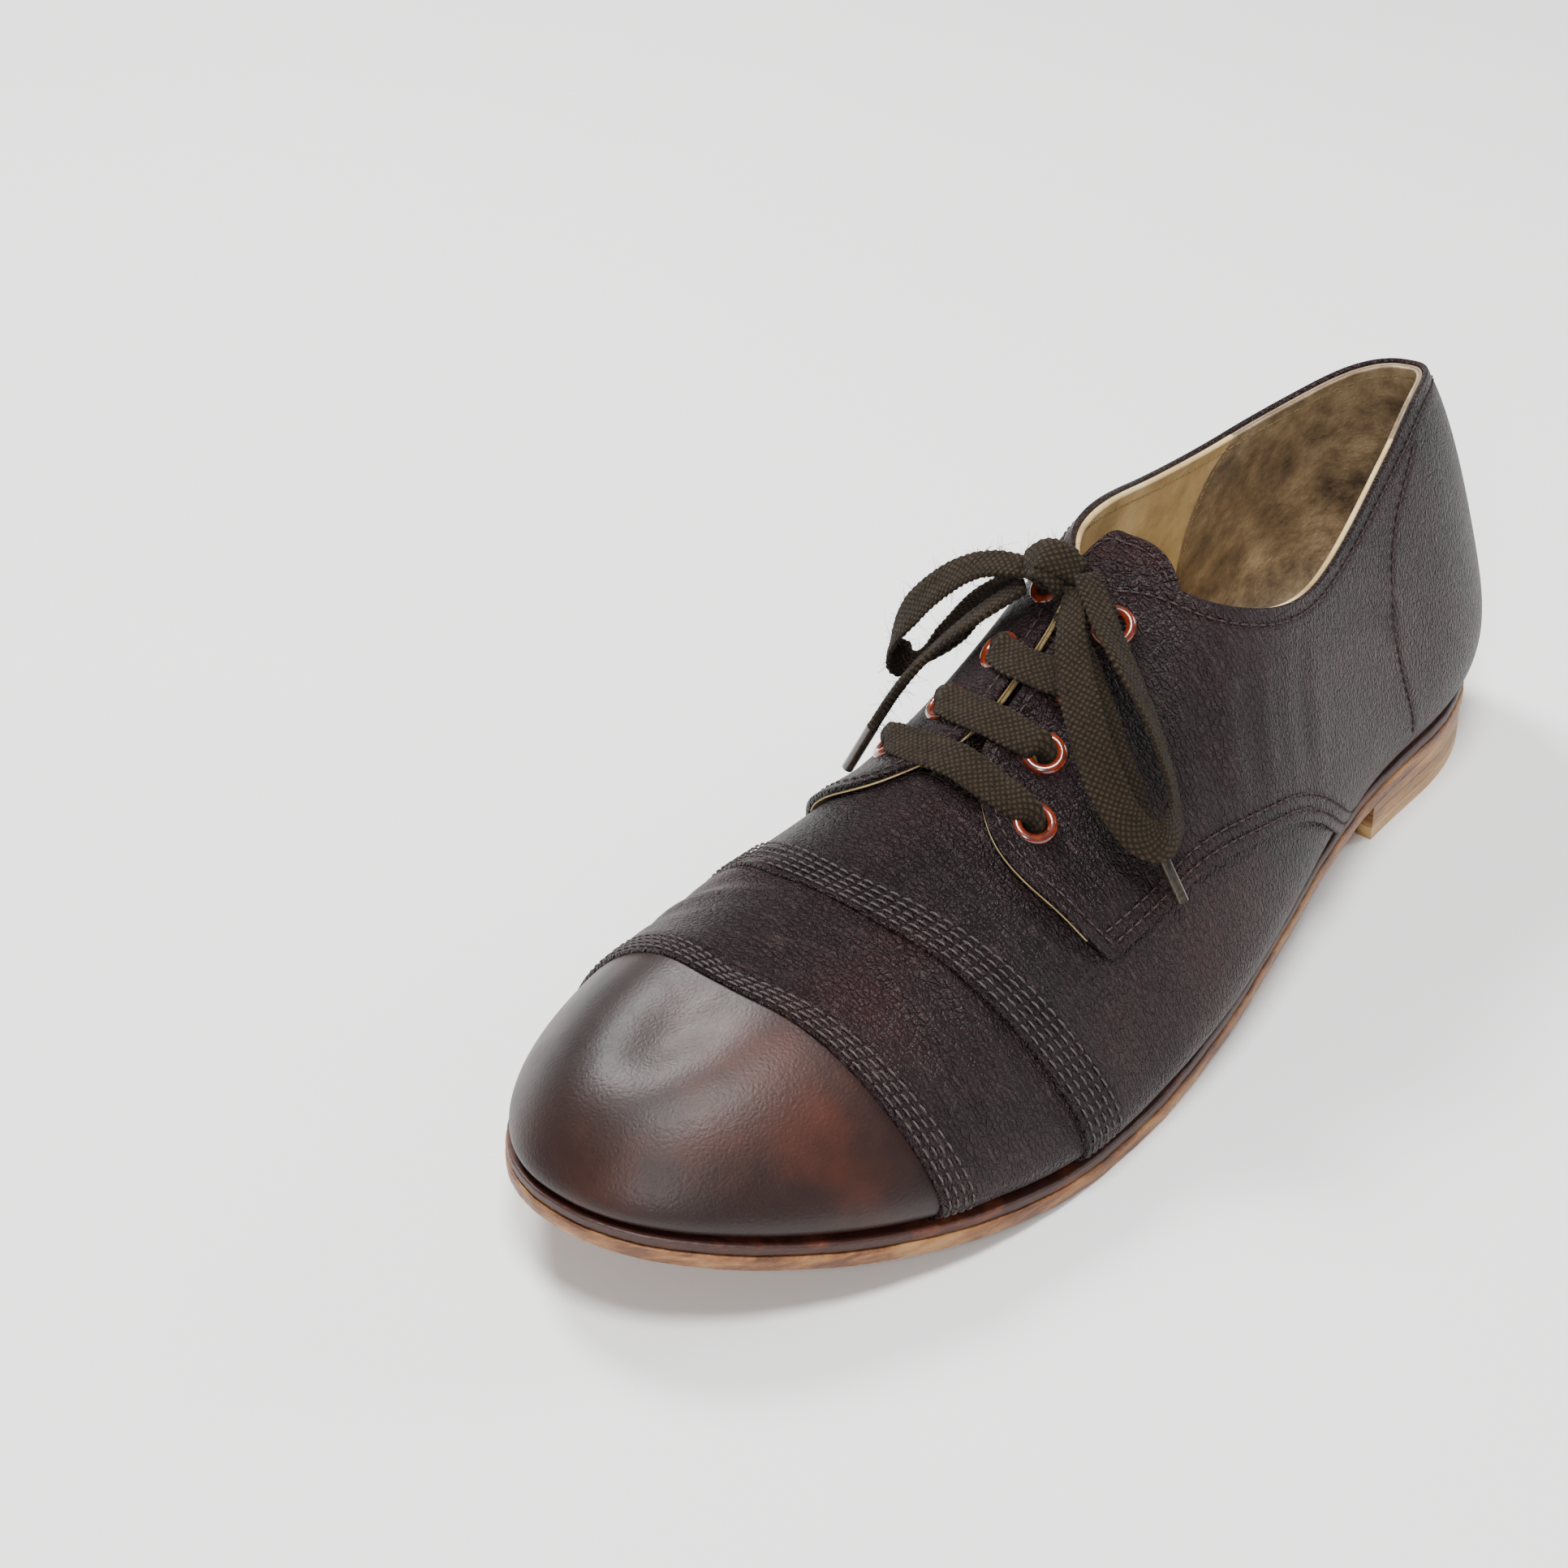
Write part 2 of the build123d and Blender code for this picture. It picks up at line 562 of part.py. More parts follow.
pieces["outsole"] = outline_prism(SOLE_MARGIN) & side_slab(over_bottom(0), over_bottom(OUTSOLE - GLUE))


BREAST_RADIUS = 95.0
BREAST_HOLLOW = 4.0        # how far the heel's front face is hollowed at the middle
LIFT = 3.0
NAIL_RING = 17.0           # radius of the ring of nails
NAIL_RING_BACK = 14.0
NAIL_ANGLES = (-100, -60, -22, 22, 60, 100)
NAIL_SUNK = 0.3
HEEL_TRIM = 0.2            # how much narrower the heel is than the outsole
MIDSOLE_TRIM = 0.4
NAIL_CLEAR = 0.04
TURNED_IN = 9.0            # width of the lasted margin under the insole
MARGIN_CLEAR = 0.3
INSOLE_CLEAR = 0.5
SOCK_CLEAR = 0.4
SHANK_BACK = 28.0          # how far the shank reaches back over the heel
SHANK_CLEAR = 0.2


def layer(low, high):
    """Level slab wider than the shoe."""
    return Pos(0, 0, (low + high) / 2) * Box(WIDE, WIDE, high - low)


def nails(radius):
    """The ring of nails through the heel."""
    places = [(NAIL_RING_BACK + NAIL_RING * (1 - cos(radians(angle))), NAIL_RING * sin(radians(angle)))
              for angle in NAIL_ANGLES]
    return Compound([Pos(x, y, NAIL_SUNK + HEEL_NAIL_LENGTH / 2) * Cylinder(radius, HEEL_NAIL_LENGTH)
                     for x, y in places])


breast = Pos(HEEL_LENGTH + BREAST_RADIUS - BREAST_HOLLOW, 0, 0) * Cylinder(BREAST_RADIUS, 2 * HIGH)
heel_end = Pos(HEEL_LENGTH - WIDE / 2, 0, 0) * Box(WIDE, WIDE, 2 * HIGH)
heel_block = (outline_prism(SOLE_MARGIN - HEEL_TRIM) & heel_end) - breast
heel_block -= nails(HEEL_NAIL / 2 + NAIL_CLEAR)
pieces["top_piece"] = heel_block & layer(0, TOP_PIECE - GLUE)
pieces["lower_heel_lift"] = heel_block & layer(TOP_PIECE, TOP_PIECE + LIFT - GLUE)
under_sole = side_slab(lambda x: -HIGH, over_bottom(-GLUE))
pieces["upper_heel_lift"] = heel_block & layer(TOP_PIECE + LIFT, HIGH) & under_sole
pieces["heel_nails"] = nails(HEEL_NAIL / 2)
midsole_slab = side_slab(over_bottom(OUTSOLE), over_bottom(OUTSOLE + MIDSOLE - GLUE))
pieces["midsole"] = outline_prism(SOLE_MARGIN - MIDSOLE_TRIM) & midsole_slab


def shank_block(clear):
    """Upright block on the shank's outline, larger by a gap all round."""
    middle = HEEL_LENGTH - SHANK_BACK + SHANK_LENGTH / 2
    return Pos(middle, 0, 0) * Box(SHANK_LENGTH + 2 * clear, SHANK_WIDTH + 2 * clear, 2 * HIGH)


inner = LINING_IN - INSOLE_CLEAR
filler_slab = side_slab(over_edge(GLUE), over_edge(FILLER))
pieces["shank"] = side_slab(over_edge(GLUE), over_edge(GLUE + SHANK)) & shank_block(0)
shank_hole = side_slab(over_edge(0), over_edge(2 * GLUE + SHANK)) & shank_block(SHANK_CLEAR)
pieces["cork_filler"] = (outline_prism(inner - TURNED_IN) & filler_slab) - shank_hole
margin_hole = outline_prism(inner - TURNED_IN + MARGIN_CLEAR)
pieces["lasted_margin"] = (outline_prism(inner) & filler_slab) - margin_hole
insole_low = FILLER + GLUE
pieces["insole"] = outline_prism(inner) & side_slab(over_edge(insole_low), over_edge(insole_low + INSOLE))
sock_low = insole_low + INSOLE + GLUE
sock_slab = side_slab(over_edge(sock_low), over_edge(sock_low + SOCK))
pieces["sock_lining"] = outline_prism(inner - SOCK_CLEAR) & sock_slab

# ---------------------------------------------------------------- lace
ARC_SHARE = 0.45


def tube(points, diameter):
    """Round tube along straight runs joined by tangent arcs; returns the solid and the arc radii."""
    points = [Vector(*point) for point in points]
    radii = []
    for before, corner, after in zip(points, points[1:], points[2:]):
        turn = radians((corner - before).get_angle(after - corner))
        radii.append(ARC_SHARE * min((corner - before).length, (after - corner).length) / tan(turn / 2))
    path = FilletPolyline(*points, radius=radii)
    start = Plane(origin=points[0], z_dir=points[1] - points[0])
    solid = sweep(start * Circle(diameter / 2), path=path)
    return solid, radii, path.length


def lace_row(medial, lateral, bow):
    """Lace across the facings: out of the medial eyelet, over the gap, into the lateral one."""
    low, over, level = EYELET_BACK, QUARTER_OUT + LACE_EXIT, QUARTER_OUT + LACE_TUBE / 2 + LACE_LIFT
    run = (medial[0] + lateral[0]) / 2 + bow
    return [upper_point(*medial, -1, low), upper_point(*medial, -1, over),
            upper_point((medial[0] + run) / 2, (1 + 2 * medial[1]) / 3, -1, level),
            upper_point(run, 0.96, -1, level), upper_point(run, 0.96, 1, level),
            upper_point((lateral[0] + run) / 2, (1 + 2 * lateral[1]) / 3, 1, level),
            upper_point(*lateral, 1, over), upper_point(*lateral, 1, low)]


for number, bow in enumerate((0.020, 0.012, 0.008)):
    route = lace_row(EYELETS[-1][number], EYELETS[1][number], bow)
    pieces[f"lace_row_{number + 1}"], row_radii, row_length = tube(route, LACE_TUBE)
    print("lace row", number + 1, "length", round(row_length, 1), "radii", [round(r, 1) for r in row_radii])

# The free lace: places chosen by hand, in the working frame.
KNOT = Vector(134.0, -2.5, 83.8)
KNOT_AXIS = Vector(-0.84, 0, 0.54).normalized()
CORDS = {
    "lateral_loop": [(135.6, 3.2, 82.0), (140.5, 6.2, 80.0), (146.5, 11.0, 75.0), (152.5, 18.5, 68.5),
                     (156.3, 25.5, 61.5), (158.0, 31.2, 56.2), (157.0, 35.6, 52.4), (153.2, 37.8, 50.9),
                     (148.8, 37.0, 53.2), (146.0, 33.6, 58.4), (143.8, 27.6, 67.0), (141.5, 19.5, 75.0),
                     (138.5, 11.5, 81.0), (133.3, 4.0, 85.0)],
    "lateral_tail": [(137.6, 3.0, 78.6), (141.4, 8.0, 75.6), (145.5, 15.0, 70.5), (148.8, 22.5, 63.0),
                     (150.5, 29.0, 55.6), (151.0, 34.2, 48.4)],
    "medial_loop": [(135.2, -8.2, 82.8), (135.5, -14.0, 82.0), (136.5, -20.5, 79.0), (139.0, -27.0, 73.0),
                    (140.8, -31.8, 66.0), (141.4, -34.4, 60.2), (140.0, -35.2, 55.6), (136.8, -33.6, 53.4),
                    (134.0, -29.8, 55.6), (132.6, -26.0, 61.4), (131.8, -21.0, 69.5), (131.5, -15.5, 76.2),
                    (132.2, -8.4, 81.8)],
    "medial_tail": [(135.2, -7.9, 79.2), (139.5, -12.5, 75.0), (143.5, -18.5, 68.5), (146.5, -24.5, 60.5),
                    (148.5, -29.0, 52.5), (149.5, -32.5, 45.0)]}
LACE_END = {"lateral": (EYELETS[1][3], 1, [(131.0, 6.0, 80.2), (131.4, 2.0, 81.4)]),
            "medial": (EYELETS[-1][3], -1, [(131.0, -5.4, 80.6), (132.4, -3.6, 80.6)])}
cords = {}
for name, route in CORDS.items():
    cords[name], cord_radii, cord_length = tube(route, LACE_TUBE)
    print(name, "length", round(cord_length, 1), "radii", [round(r, 1) for r in cord_radii])
for side in ("lateral", "medial"):
    before, end = Vector(*CORDS[f"{side}_tail"][-2]), Vector(*CORDS[f"{side}_tail"][-1])
    aglet_plane = Plane(origin=end, z_dir=end - before)
    aglet = Pos(0, 0, AGLET_LENGTH / 2) * Cylinder(AGLET_DIAMETER / 2, AGLET_LENGTH)
    cords[f"{side}_aglet"] = aglet_plane * aglet

KNOT_PROFILE = [(0.7, 0.36), (1.0, 0.0), (0.7, -0.36)]      # shares of its radius and its length
with BuildPart() as knot:
    with BuildSketch(Plane.XZ):
        with BuildLine():
            Line((0, -KNOT_LENGTH / 2), (0, KNOT_LENGTH / 2))
            Spline((0, KNOT_LENGTH / 2),
                   *[(share * KNOT_DIAMETER / 2, at * KNOT_LENGTH) for share, at in KNOT_PROFILE],
                   (0, -KNOT_LENGTH / 2), tangents=((1, 0), (-1, 0)))
        make_face()
    revolve(axis=Axis.Z)
pieces["lace_knot"] = Plane(origin=KNOT, z_dir=KNOT_AXIS) * knot.part

ends = []
for (place, side, beyond) in LACE_END.values():
    route = [upper_point(*place, side, EYELET_BACK), upper_point(*place, side, QUARTER_OUT + LACE_EXIT)]
    route += beyond
    ends.append(tube(route, LACE_TUBE)[0] - pieces["lace_knot"])
pieces["lace_ends"] = Compound(ends)


def inner_run(start, end, side, sag):
    """Flat stretch of lace behind the facing, from one eyelet up to another."""
    half = LACE_WIDTH / 2 / FACING_ARC

    def chart(a, b):
        run = start[0] + (end[0] - start[0]) * b
        rise = start[1] + (end[1] - start[1]) * b - sag * sin(pi * b) + half * (2 * a - 1)
        return run, rise, side
    return solid_between(chart, INNER_RUN_OUT, INNER_RUN_IN, 9, 5)


pieces["lace_inner_runs"] = Compound([
    inner_run(EYELETS[1][0], EYELETS[1][1], 1, 0), inner_run(EYELETS[1][2], EYELETS[1][3], 1, 0),
    inner_run(EYELETS[-1][1], EYELETS[-1][2], -1, 0), inner_run(EYELETS[-1][0], EYELETS[-1][3], -1, 0.12)])

# ---------------------------------------------------------------- frame and export
boxes = [piece.bounding_box() for piece in pieces.values()]
middle = [(min(getattr(box.min, axis) for box in boxes) + max(getattr(box.max, axis) for box in boxes)) / 2
          for axis in "XY"]
ORIGIN = Vector(middle[0], middle[1], 0)
pieces.update(cords)
for name, piece in pieces.items():
    export_step(Pos(-ORIGIN.X, -ORIGIN.Y, -ORIGIN.Z) * piece, f"parts/{name}.step")

throat = upper_point(TONGUE_SIDE[0][0], 1 - TONGUE_SIDE[0][1], 1, TONGUE_IN)
print("origin in the working frame", [round(value, 3) for value in ORIGIN])
print("tongue hinge", [round(value, 2) for value in throat - ORIGIN])
print("knot", [round(value, 2) for value in KNOT - ORIGIN])
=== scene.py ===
"""A left lace-up shoe with open lacing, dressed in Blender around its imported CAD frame.

All shapes are worked out in millimetres in the maker's frame: X from the back of the heel to the
toe, Y to the outside of the foot and Z up from the ground. `Place.world` takes them to the frame.
The upper is drawn on the surface of the last, where a place is (run, rise, side): run is 0 at the
heel and 1 at the toe, rise is 0 at the sole and 1 on the crest, and side is 1 lateral, -1 medial.
"""
from __future__ import annotations

import logging
import math
from dataclasses import dataclass, field
from enum import Enum
from typing import Callable, Optional, Sequence

import bmesh
import bpy
import numpy as np
from mathutils import Matrix, Vector


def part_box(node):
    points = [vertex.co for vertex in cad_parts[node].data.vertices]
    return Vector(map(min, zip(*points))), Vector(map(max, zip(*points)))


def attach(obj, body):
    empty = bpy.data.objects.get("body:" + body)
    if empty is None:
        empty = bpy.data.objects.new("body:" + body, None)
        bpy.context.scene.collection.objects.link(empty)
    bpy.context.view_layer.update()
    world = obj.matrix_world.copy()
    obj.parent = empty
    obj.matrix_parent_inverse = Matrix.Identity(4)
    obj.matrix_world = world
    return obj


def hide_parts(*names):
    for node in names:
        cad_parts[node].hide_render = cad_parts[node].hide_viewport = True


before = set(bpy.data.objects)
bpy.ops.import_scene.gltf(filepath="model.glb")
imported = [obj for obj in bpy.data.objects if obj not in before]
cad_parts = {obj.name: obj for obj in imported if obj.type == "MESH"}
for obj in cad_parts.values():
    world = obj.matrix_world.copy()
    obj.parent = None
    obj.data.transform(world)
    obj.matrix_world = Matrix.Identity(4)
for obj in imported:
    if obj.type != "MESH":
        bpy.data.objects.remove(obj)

log = logging.getLogger("shoe")
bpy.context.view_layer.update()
MM = 0.001
Array = np.ndarray
Line = Callable[[Array], Array]
Chart = Callable[[Array, Array], tuple[Array, Array, Array]]


# ---------------------------------------------------------------- curves and charts
class NaturalCurve:
    """Natural cubic spline through numbers or rows of coordinates."""

    def __init__(self, stations: Sequence[float], values: Sequence) -> None:
        """Solve for the curve's bends.

        Args:
            stations: increasing places along the curve.
            values: a number or a row of numbers at each of them.
        """
        self.x = np.asarray(stations, float)
        self.y = np.asarray(values, float)
        self.flat = self.y.ndim == 1
        if self.flat:
            self.y = self.y[:, None]
        steps = np.diff(self.x)
        slopes = np.diff(self.y, axis=0) / steps[:, None]
        system = np.eye(len(self.x))
        turns = np.zeros_like(self.y)
        for i in range(1, len(self.x) - 1):
            system[i, i - 1:i + 2] = steps[i - 1], 2 * (steps[i - 1] + steps[i]), steps[i]
            turns[i] = 6 * (slopes[i] - slopes[i - 1])
        self.bends = np.linalg.solve(system, turns)

    def __call__(self, x: Array) -> Array:
        """Return the curve's value at each x."""
        x = np.asarray(x, float)
        i = np.clip(np.searchsorted(self.x, x) - 1, 0, len(self.x) - 2)
        step = (self.x[i + 1] - self.x[i])[..., None]
        before, after = (x - self.x[i])[..., None], (self.x[i + 1] - x)[..., None]
        value = ((self.bends[i] * after ** 3 + self.bends[i + 1] * before ** 3) / (6 * step)
                 + (self.y[i] / step - self.bends[i] * step / 6) * after
                 + (self.y[i + 1] / step - self.bends[i + 1] * step / 6) * before)
        return value[..., 0] if self.flat else value


RUN_TO_RISE = 5.0          # a step in run is about five times as long as the same step in rise


def path_through(points: Sequence[tuple[float, float]]) -> Line:
    """Return a smooth curve through (run, rise) points, as a function of 0..1 along it."""
    places = np.array(points, float)
    steps = np.diff(places, axis=0) * (RUN_TO_RISE, 1)
    lengths = np.concatenate([[0], np.cumsum(np.hypot(*steps.T))])
    return NaturalCurve(lengths / lengths[-1], places)


def smooth(x: Array) -> Array:
    """Smooth step from 0 to 1 as x goes from 0 to 1."""
    x = np.clip(x, 0, 1)
    return x * x * (3 - 2 * x)


def normalised(v: Array) -> Array:
    """Return the vectors at unit length."""
    return v / np.maximum(np.linalg.norm(v, axis=-1, keepdims=True), 1e-9)


@dataclass(frozen=True)
class Last:
    """The form the shoe is made on, and the sole's outline, in millimetres.

    Attributes:
        sole_length, ball_width, instep_height, heel_height, toe_spring: the driving sizes.
        sole: thickness of the outsole and the midsole together.
        edge_inset: how far the upper's edge stands inside the sole length at each end.
        heel_round, toe_round: the share of the length each end is rounded over, and the curve's power.
        toe_drift: how far the toe leans to the inside of the foot.
        bulge_rise: the height share at which the sides stand out most.
        crest_reach: how far down the sides the crest's own slope is followed.
        toe_blend: the step length below which the toe's end takes the crest's normal.
        level_rise: the rise below which normals are turned level.
        OUTLINE ... MEDIAL_BULGES: stations as shares of the length, and the shares or sizes at them.
    """
    sole_length: float = 270.0
    ball_width: float = 95.5
    instep_height: float = 90.0
    heel_height: float = 9.6
    toe_spring: float = 17.0
    sole: float = 5.4
    edge_inset: float = 3.0
    heel_round: tuple[float, float] = (0.17, 2.3)
    toe_round: tuple[float, float] = (0.30, 2.25)
    toe_drift: float = -3.0
    bulge_rise: float = 0.2
    crest_reach: float = 0.35
    toe_blend: float = 0.3
    level_rise: float = 0.08

    OUTLINE = [0, 0.12, 0.25, 0.40, 0.55, 0.68, 0.80, 0.90, 1.0]
    LATERAL = [0.304, 0.314, 0.330, 0.414, 0.497, 0.524, 0.503, 0.466, 0.419]
    MEDIAL = [0.293, 0.298, 0.293, 0.283, 0.377, 0.476, 0.487, 0.466, 0.414]
    BOTTOM = [0, 0.222, 0.407, 0.593, 0.678, 0.789, 0.889, 1.0]
    HEEL = [1.0, 0.875, 0.49, 0.05, 0, 0, 0, 0]
    SPRING = [0, 0, 0, 0, 0, 0.21, 0.53, 1.0]
    CREST = [0.111, 0.222, 0.333, 0.426, 0.500, 0.574, 0.648, 0.741, 0.815, 0.874]
    CREST_SHARES = [1.056, 1.078, 1.061, 0.978, 0.822, 0.691, 0.606, 0.540, 0.506, 0.459]
    SECTION = [0.111, 0.296, 0.444, 0.574, 0.704, 0.874]
    POWERS = [2.1, 2.4, 2.3, 1.75, 1.85, 2.1]
    LATERAL_BULGES = [6.0, 6.0, 7.5, 7.0, 5.0, 3.0]
    MEDIAL_BULGES = [5.0, 4.5, 4.5, 4.0, 4.0, 3.0]

    def curve(self, stations: Sequence[float], values: Sequence[float], scale: float = 1.0) -> NaturalCurve:
        """Return a spline through values that are shares of a size."""
        return NaturalCurve(stations, np.array(values) * scale)

    def side_curve(self, t: Array, side: Array, stations: Sequence[float], lateral: Sequence[float],
                   medial: Sequence[float], scale: float) -> Array:
        """Return the lateral or the medial curve's value at each t."""
        return np.where(np.asarray(side) > 0, self.curve(stations, lateral, scale)(t),
                        self.curve(stations, medial, scale)(t))

    def bottom_z(self, x: Array) -> Array:
        """Return the height of the outsole's underside at x."""
        shares = self.heel_height * np.array(self.HEEL) + self.toe_spring * np.array(self.SPRING)
        return np.maximum(NaturalCurve(self.BOTTOM, shares)(np.asarray(x) / self.sole_length), 0)

    def edge_z(self, x: Array) -> Array:
        """Return the height of the top of the sole at x."""
        return self.bottom_z(x) + self.sole

    def end_rounding(self, t: Array) -> Array:
        """Return the share of the full width at t, closing both ends round."""
        (heel_at, heel_power), (toe_at, toe_power) = self.heel_round, self.toe_round
        heel = np.clip((heel_at - t) / heel_at, 0, 1)
        toe = np.clip((t - 1 + toe_at) / toe_at, 0, 1)
        return (1 - heel ** heel_power) ** (1 / heel_power) * (1 - toe ** toe_power) ** (1 / toe_power)

    def centre_y(self, t: Array) -> Array:
        """Return the outline's middle line, which leans inward towards the toe."""
        return self.toe_drift * np.maximum(0, (t - 0.5) / 0.5) ** 2

    def edge_point(self, run: Array, side: Array, grow: Array = 0.0) -> Array:
        """Return the line where the upper meets the sole, moved outward by grow."""
        run, side, grow = np.broadcast_arrays(np.asarray(run, float), side, grow)
        t = (1 - np.cos(np.pi * run)) / 2
        inset = self.edge_inset - grow
        half = self.side_curve(t, side, self.OUTLINE, self.LATERAL, self.MEDIAL, self.ball_width)
        x = inset + (self.sole_length - 2 * inset) * t
        y = self.centre_y(t) + side * (half - inset) * self.end_rounding(t)
        return np.stack([x, y, self.edge_z(x)], -1)

    def crest_point(self, run: Array) -> Array:
        """Return the crest line of the last."""
        t = (1 - np.cos(np.pi * np.asarray(run, float))) / 2
        station = self.CREST[0] + (self.CREST[-1] - self.CREST[0]) * t
        height = self.curve(self.CREST, self.CREST_SHARES, self.instep_height)(station)
        return np.stack([station * self.sole_length, self.centre_y(t), height], -1)

    def point(self, run: Array, rise: Array, side: Array) -> Array:
        """Return places on the surface of the last."""
        run, rise, side = np.broadcast_arrays(np.asarray(run, float), np.asarray(rise, float), side)
        low, high = self.edge_point(run, side), self.crest_point(run)
        station = high[..., 0] / self.sole_length
        turn = rise * np.pi / 2
        power = 2 / self.curve(self.SECTION, self.POWERS)(station)
        inward = 1 - np.maximum(np.cos(turn), 0) ** power
        upward = np.maximum(np.sin(turn), 0) ** power
        span = high - low
        bulge = self.side_curve(station, side, self.SECTION, self.LATERAL_BULGES, self.MEDIAL_BULGES, 1)
        bulge = bulge / np.maximum(np.hypot(span[..., 0], span[..., 1]), 1) * upward / self.bulge_rise
        inward = inward - bulge * np.exp(1 - upward / self.bulge_rise) * (1 - upward)
        ahead = -span[..., 0] * (1 - inward) * np.exp(-((1 - inward) / self.crest_reach) ** 2)
        top = self.curve(self.CREST, self.CREST_SHARES, self.instep_height)(station + ahead / self.sole_length)
        return np.stack([low[..., 0] + span[..., 0] * inward, low[..., 1] + span[..., 1] * inward,
                         low[..., 2] + (top - low[..., 2]) * upward], -1)

    def outward(self, run: Array, rise: Array, side: Array) -> Array:
        """Return unit normals of the last, level at the sole's edge."""
        run, rise, side = np.broadcast_arrays(np.asarray(run, float), np.asarray(rise, float), side)
        step = 0.004
        along = (self.point(*self.round_end(run + step, rise, side))
                 - self.point(*self.round_end(run - step, rise, side)))
        low, high = np.maximum(rise - step, step), np.maximum(rise + step, 3 * step)
        up = self.point(*self.over_crest(run, high, side)) - self.point(*self.over_crest(run, low, side))
        normal = normalised(np.cross(up, along) * np.asarray(side, float)[..., None])
        crest = self.curve(self.CREST, self.CREST_SHARES, self.instep_height / self.sole_length)
        slope = float(crest(self.CREST[-1]) - crest(self.CREST[-1] - step)) / step
        known = smooth(np.linalg.norm(along, axis=-1) / self.toe_blend)[..., None]
        normal = normalised(normal * known + normalised(np.array([-slope, 0, 1])) * (1 - known))
        level = smooth(rise / self.level_rise)
        return normalised(normal * np.stack([np.ones_like(run), np.ones_like(run), level], -1))

    def over_crest(self, run: Array, rise: Array, side: Array) -> tuple[Array, Array, Array]:
        """Return the place with a rise past the crest carried down the other side."""
        return run, np.where(rise > 1, 2 - rise, rise), np.where(rise > 1, -side, side)

    def round_end(self, run: Array, rise: Array, side: Array) -> tuple[Array, Array, Array]:
        """Return the place with a run past the heel or the toe carried round to the other side."""
        past = (run < 0) | (run > 1)
        return np.where(run < 0, -run, np.where(run > 1, 2 - run, run)), rise, np.where(past, -side, side)

    def place(self, run: Array, rise: Array, side: Array, out: Array) -> Array:
        """Return places that stand out from the last, their foot kept on top of the sole."""
        foot = self.point(run, rise, side)
        out = np.broadcast_to(np.asarray(out, float), foot.shape[:-1])
        place = foot + self.outward(run, rise, side) * out[..., None]
        place[..., 2] += (self.edge_z(place[..., 0]) - self.edge_z(foot[..., 0])) * (1 - rise) ** 2
        return place


LAST = Last()


@dataclass(frozen=True)
class Layers:
    """How far the outer face of each layer of the upper stands out from the last, in millimetres.

    Attributes:
        quarter, tongue: the outer faces of the quarters and the tongue.
        leather, tongue_thick: thickness of the outer leather and the tongue.
        glue: gap between glued layers.
        counter: how much room the heel counter takes.
    """
    quarter: float = 0.6
    tongue: float = -4.43
    leather: float = 1.2
    tongue_thick: float = 1.3
    glue: float = 0.12
    counter: float = 0.54

    @property
    def vamp(self) -> float:
        """Outer face of the vamp and the toe cap."""
        return self.quarter - self.leather - self.glue

    @property
    def lining(self) -> float:
        """Outer face of the quarter linings, which fill the vamp's layer."""
        return self.vamp

    @property
    def grip(self) -> float:
        """Outer face of the heel grip."""
        return self.vamp - self.counter - self.glue


LAYERS = Layers()


class Place:
    """Takes millimetre places in the maker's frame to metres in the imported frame."""
    margin = 2.5
    ring = LAST.edge_point(np.linspace(0, 1, 400)[:, None], np.array([1, -1]), margin)
    low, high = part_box("outsole")
    origin = np.array([ring[..., 0].max() - high.x / MM, ring[..., 1].max() - high.y / MM, 0])

    @classmethod
    def world(cls, places: Array) -> Array:
        """Return the places in metres."""
        return (np.asarray(places, float) - cls.origin) * MM


def across_line(points: Sequence[tuple[float, float]]) -> Line:
    """Return a line across the shoe: run as a function of distance from the crest, -1..1."""
    line = NaturalCurve(*zip(*points))
    return lambda across: line(np.abs(across))


def arc_line(crest_x: float, edge_x: float) -> Line:
    """Return a seam that crosses the shoe in a shallow arc.

    Args:
        crest_x, edge_x: its X on the crest and at the sole.

    Returns:
        Its run as a function of distance from the crest, -1..1.
    """
    distance = np.linspace(0, 1, 81)
    wanted = crest_x + (edge_x - crest_x) * np.sin(distance * np.pi / 2) ** 2
    low, high = np.full(distance.shape, 0.4), np.full(distance.shape, 0.97)
    for _ in range(40):
        middle = (low + high) / 2
        short = LAST.point(middle, 1 - distance, 1)[:, 0] < wanted
        low, high = np.where(short, middle, low), np.where(short, high, middle)
    line = NaturalCurve(distance, low)
    return lambda across: line(np.abs(across))


def between_lines(rear: Line, front: Line) -> Chart:
    """Return the chart of a panel that crosses the crest between two across-lines."""
    def chart(a: Array, b: Array) -> tuple[Array, Array, Array]:
        across = 1 - 2 * a
        run = rear(across) + (front(across) - rear(across)) * b
        return run, 1 - np.abs(across), np.where(across >= 0, 1, -1)
    return chart


def patch(bottom: Line, top: Line, left: Line, right: Line, a: Array, b: Array) -> Array:
    """Return a Coons patch between four edge curves."""
    a, b = a[..., None], b[..., None]
    low = bottom(a[..., 0]) * (1 - b) + top(a[..., 0]) * b
    sides = left(b[..., 0]) * (1 - a) + right(b[..., 0]) * a
    ends = np.zeros(1), np.ones(1)
    corners = (left(ends[0]) * (1 - a) + right(ends[0]) * a) * (1 - b)
    return low + sides - corners - (left(ends[1]) * (1 - a) + right(ends[1]) * a) * b


def plan_place(run: Array, across: Array) -> Array:
    """Return the plan position of places that are a share across from crest to edge."""
    crest, edge = LAST.crest_point(run), LAST.edge_point(run, np.where(across >= 0, 1, -1))
    return (crest + (edge - crest) * np.abs(across)[..., None])[..., :2]


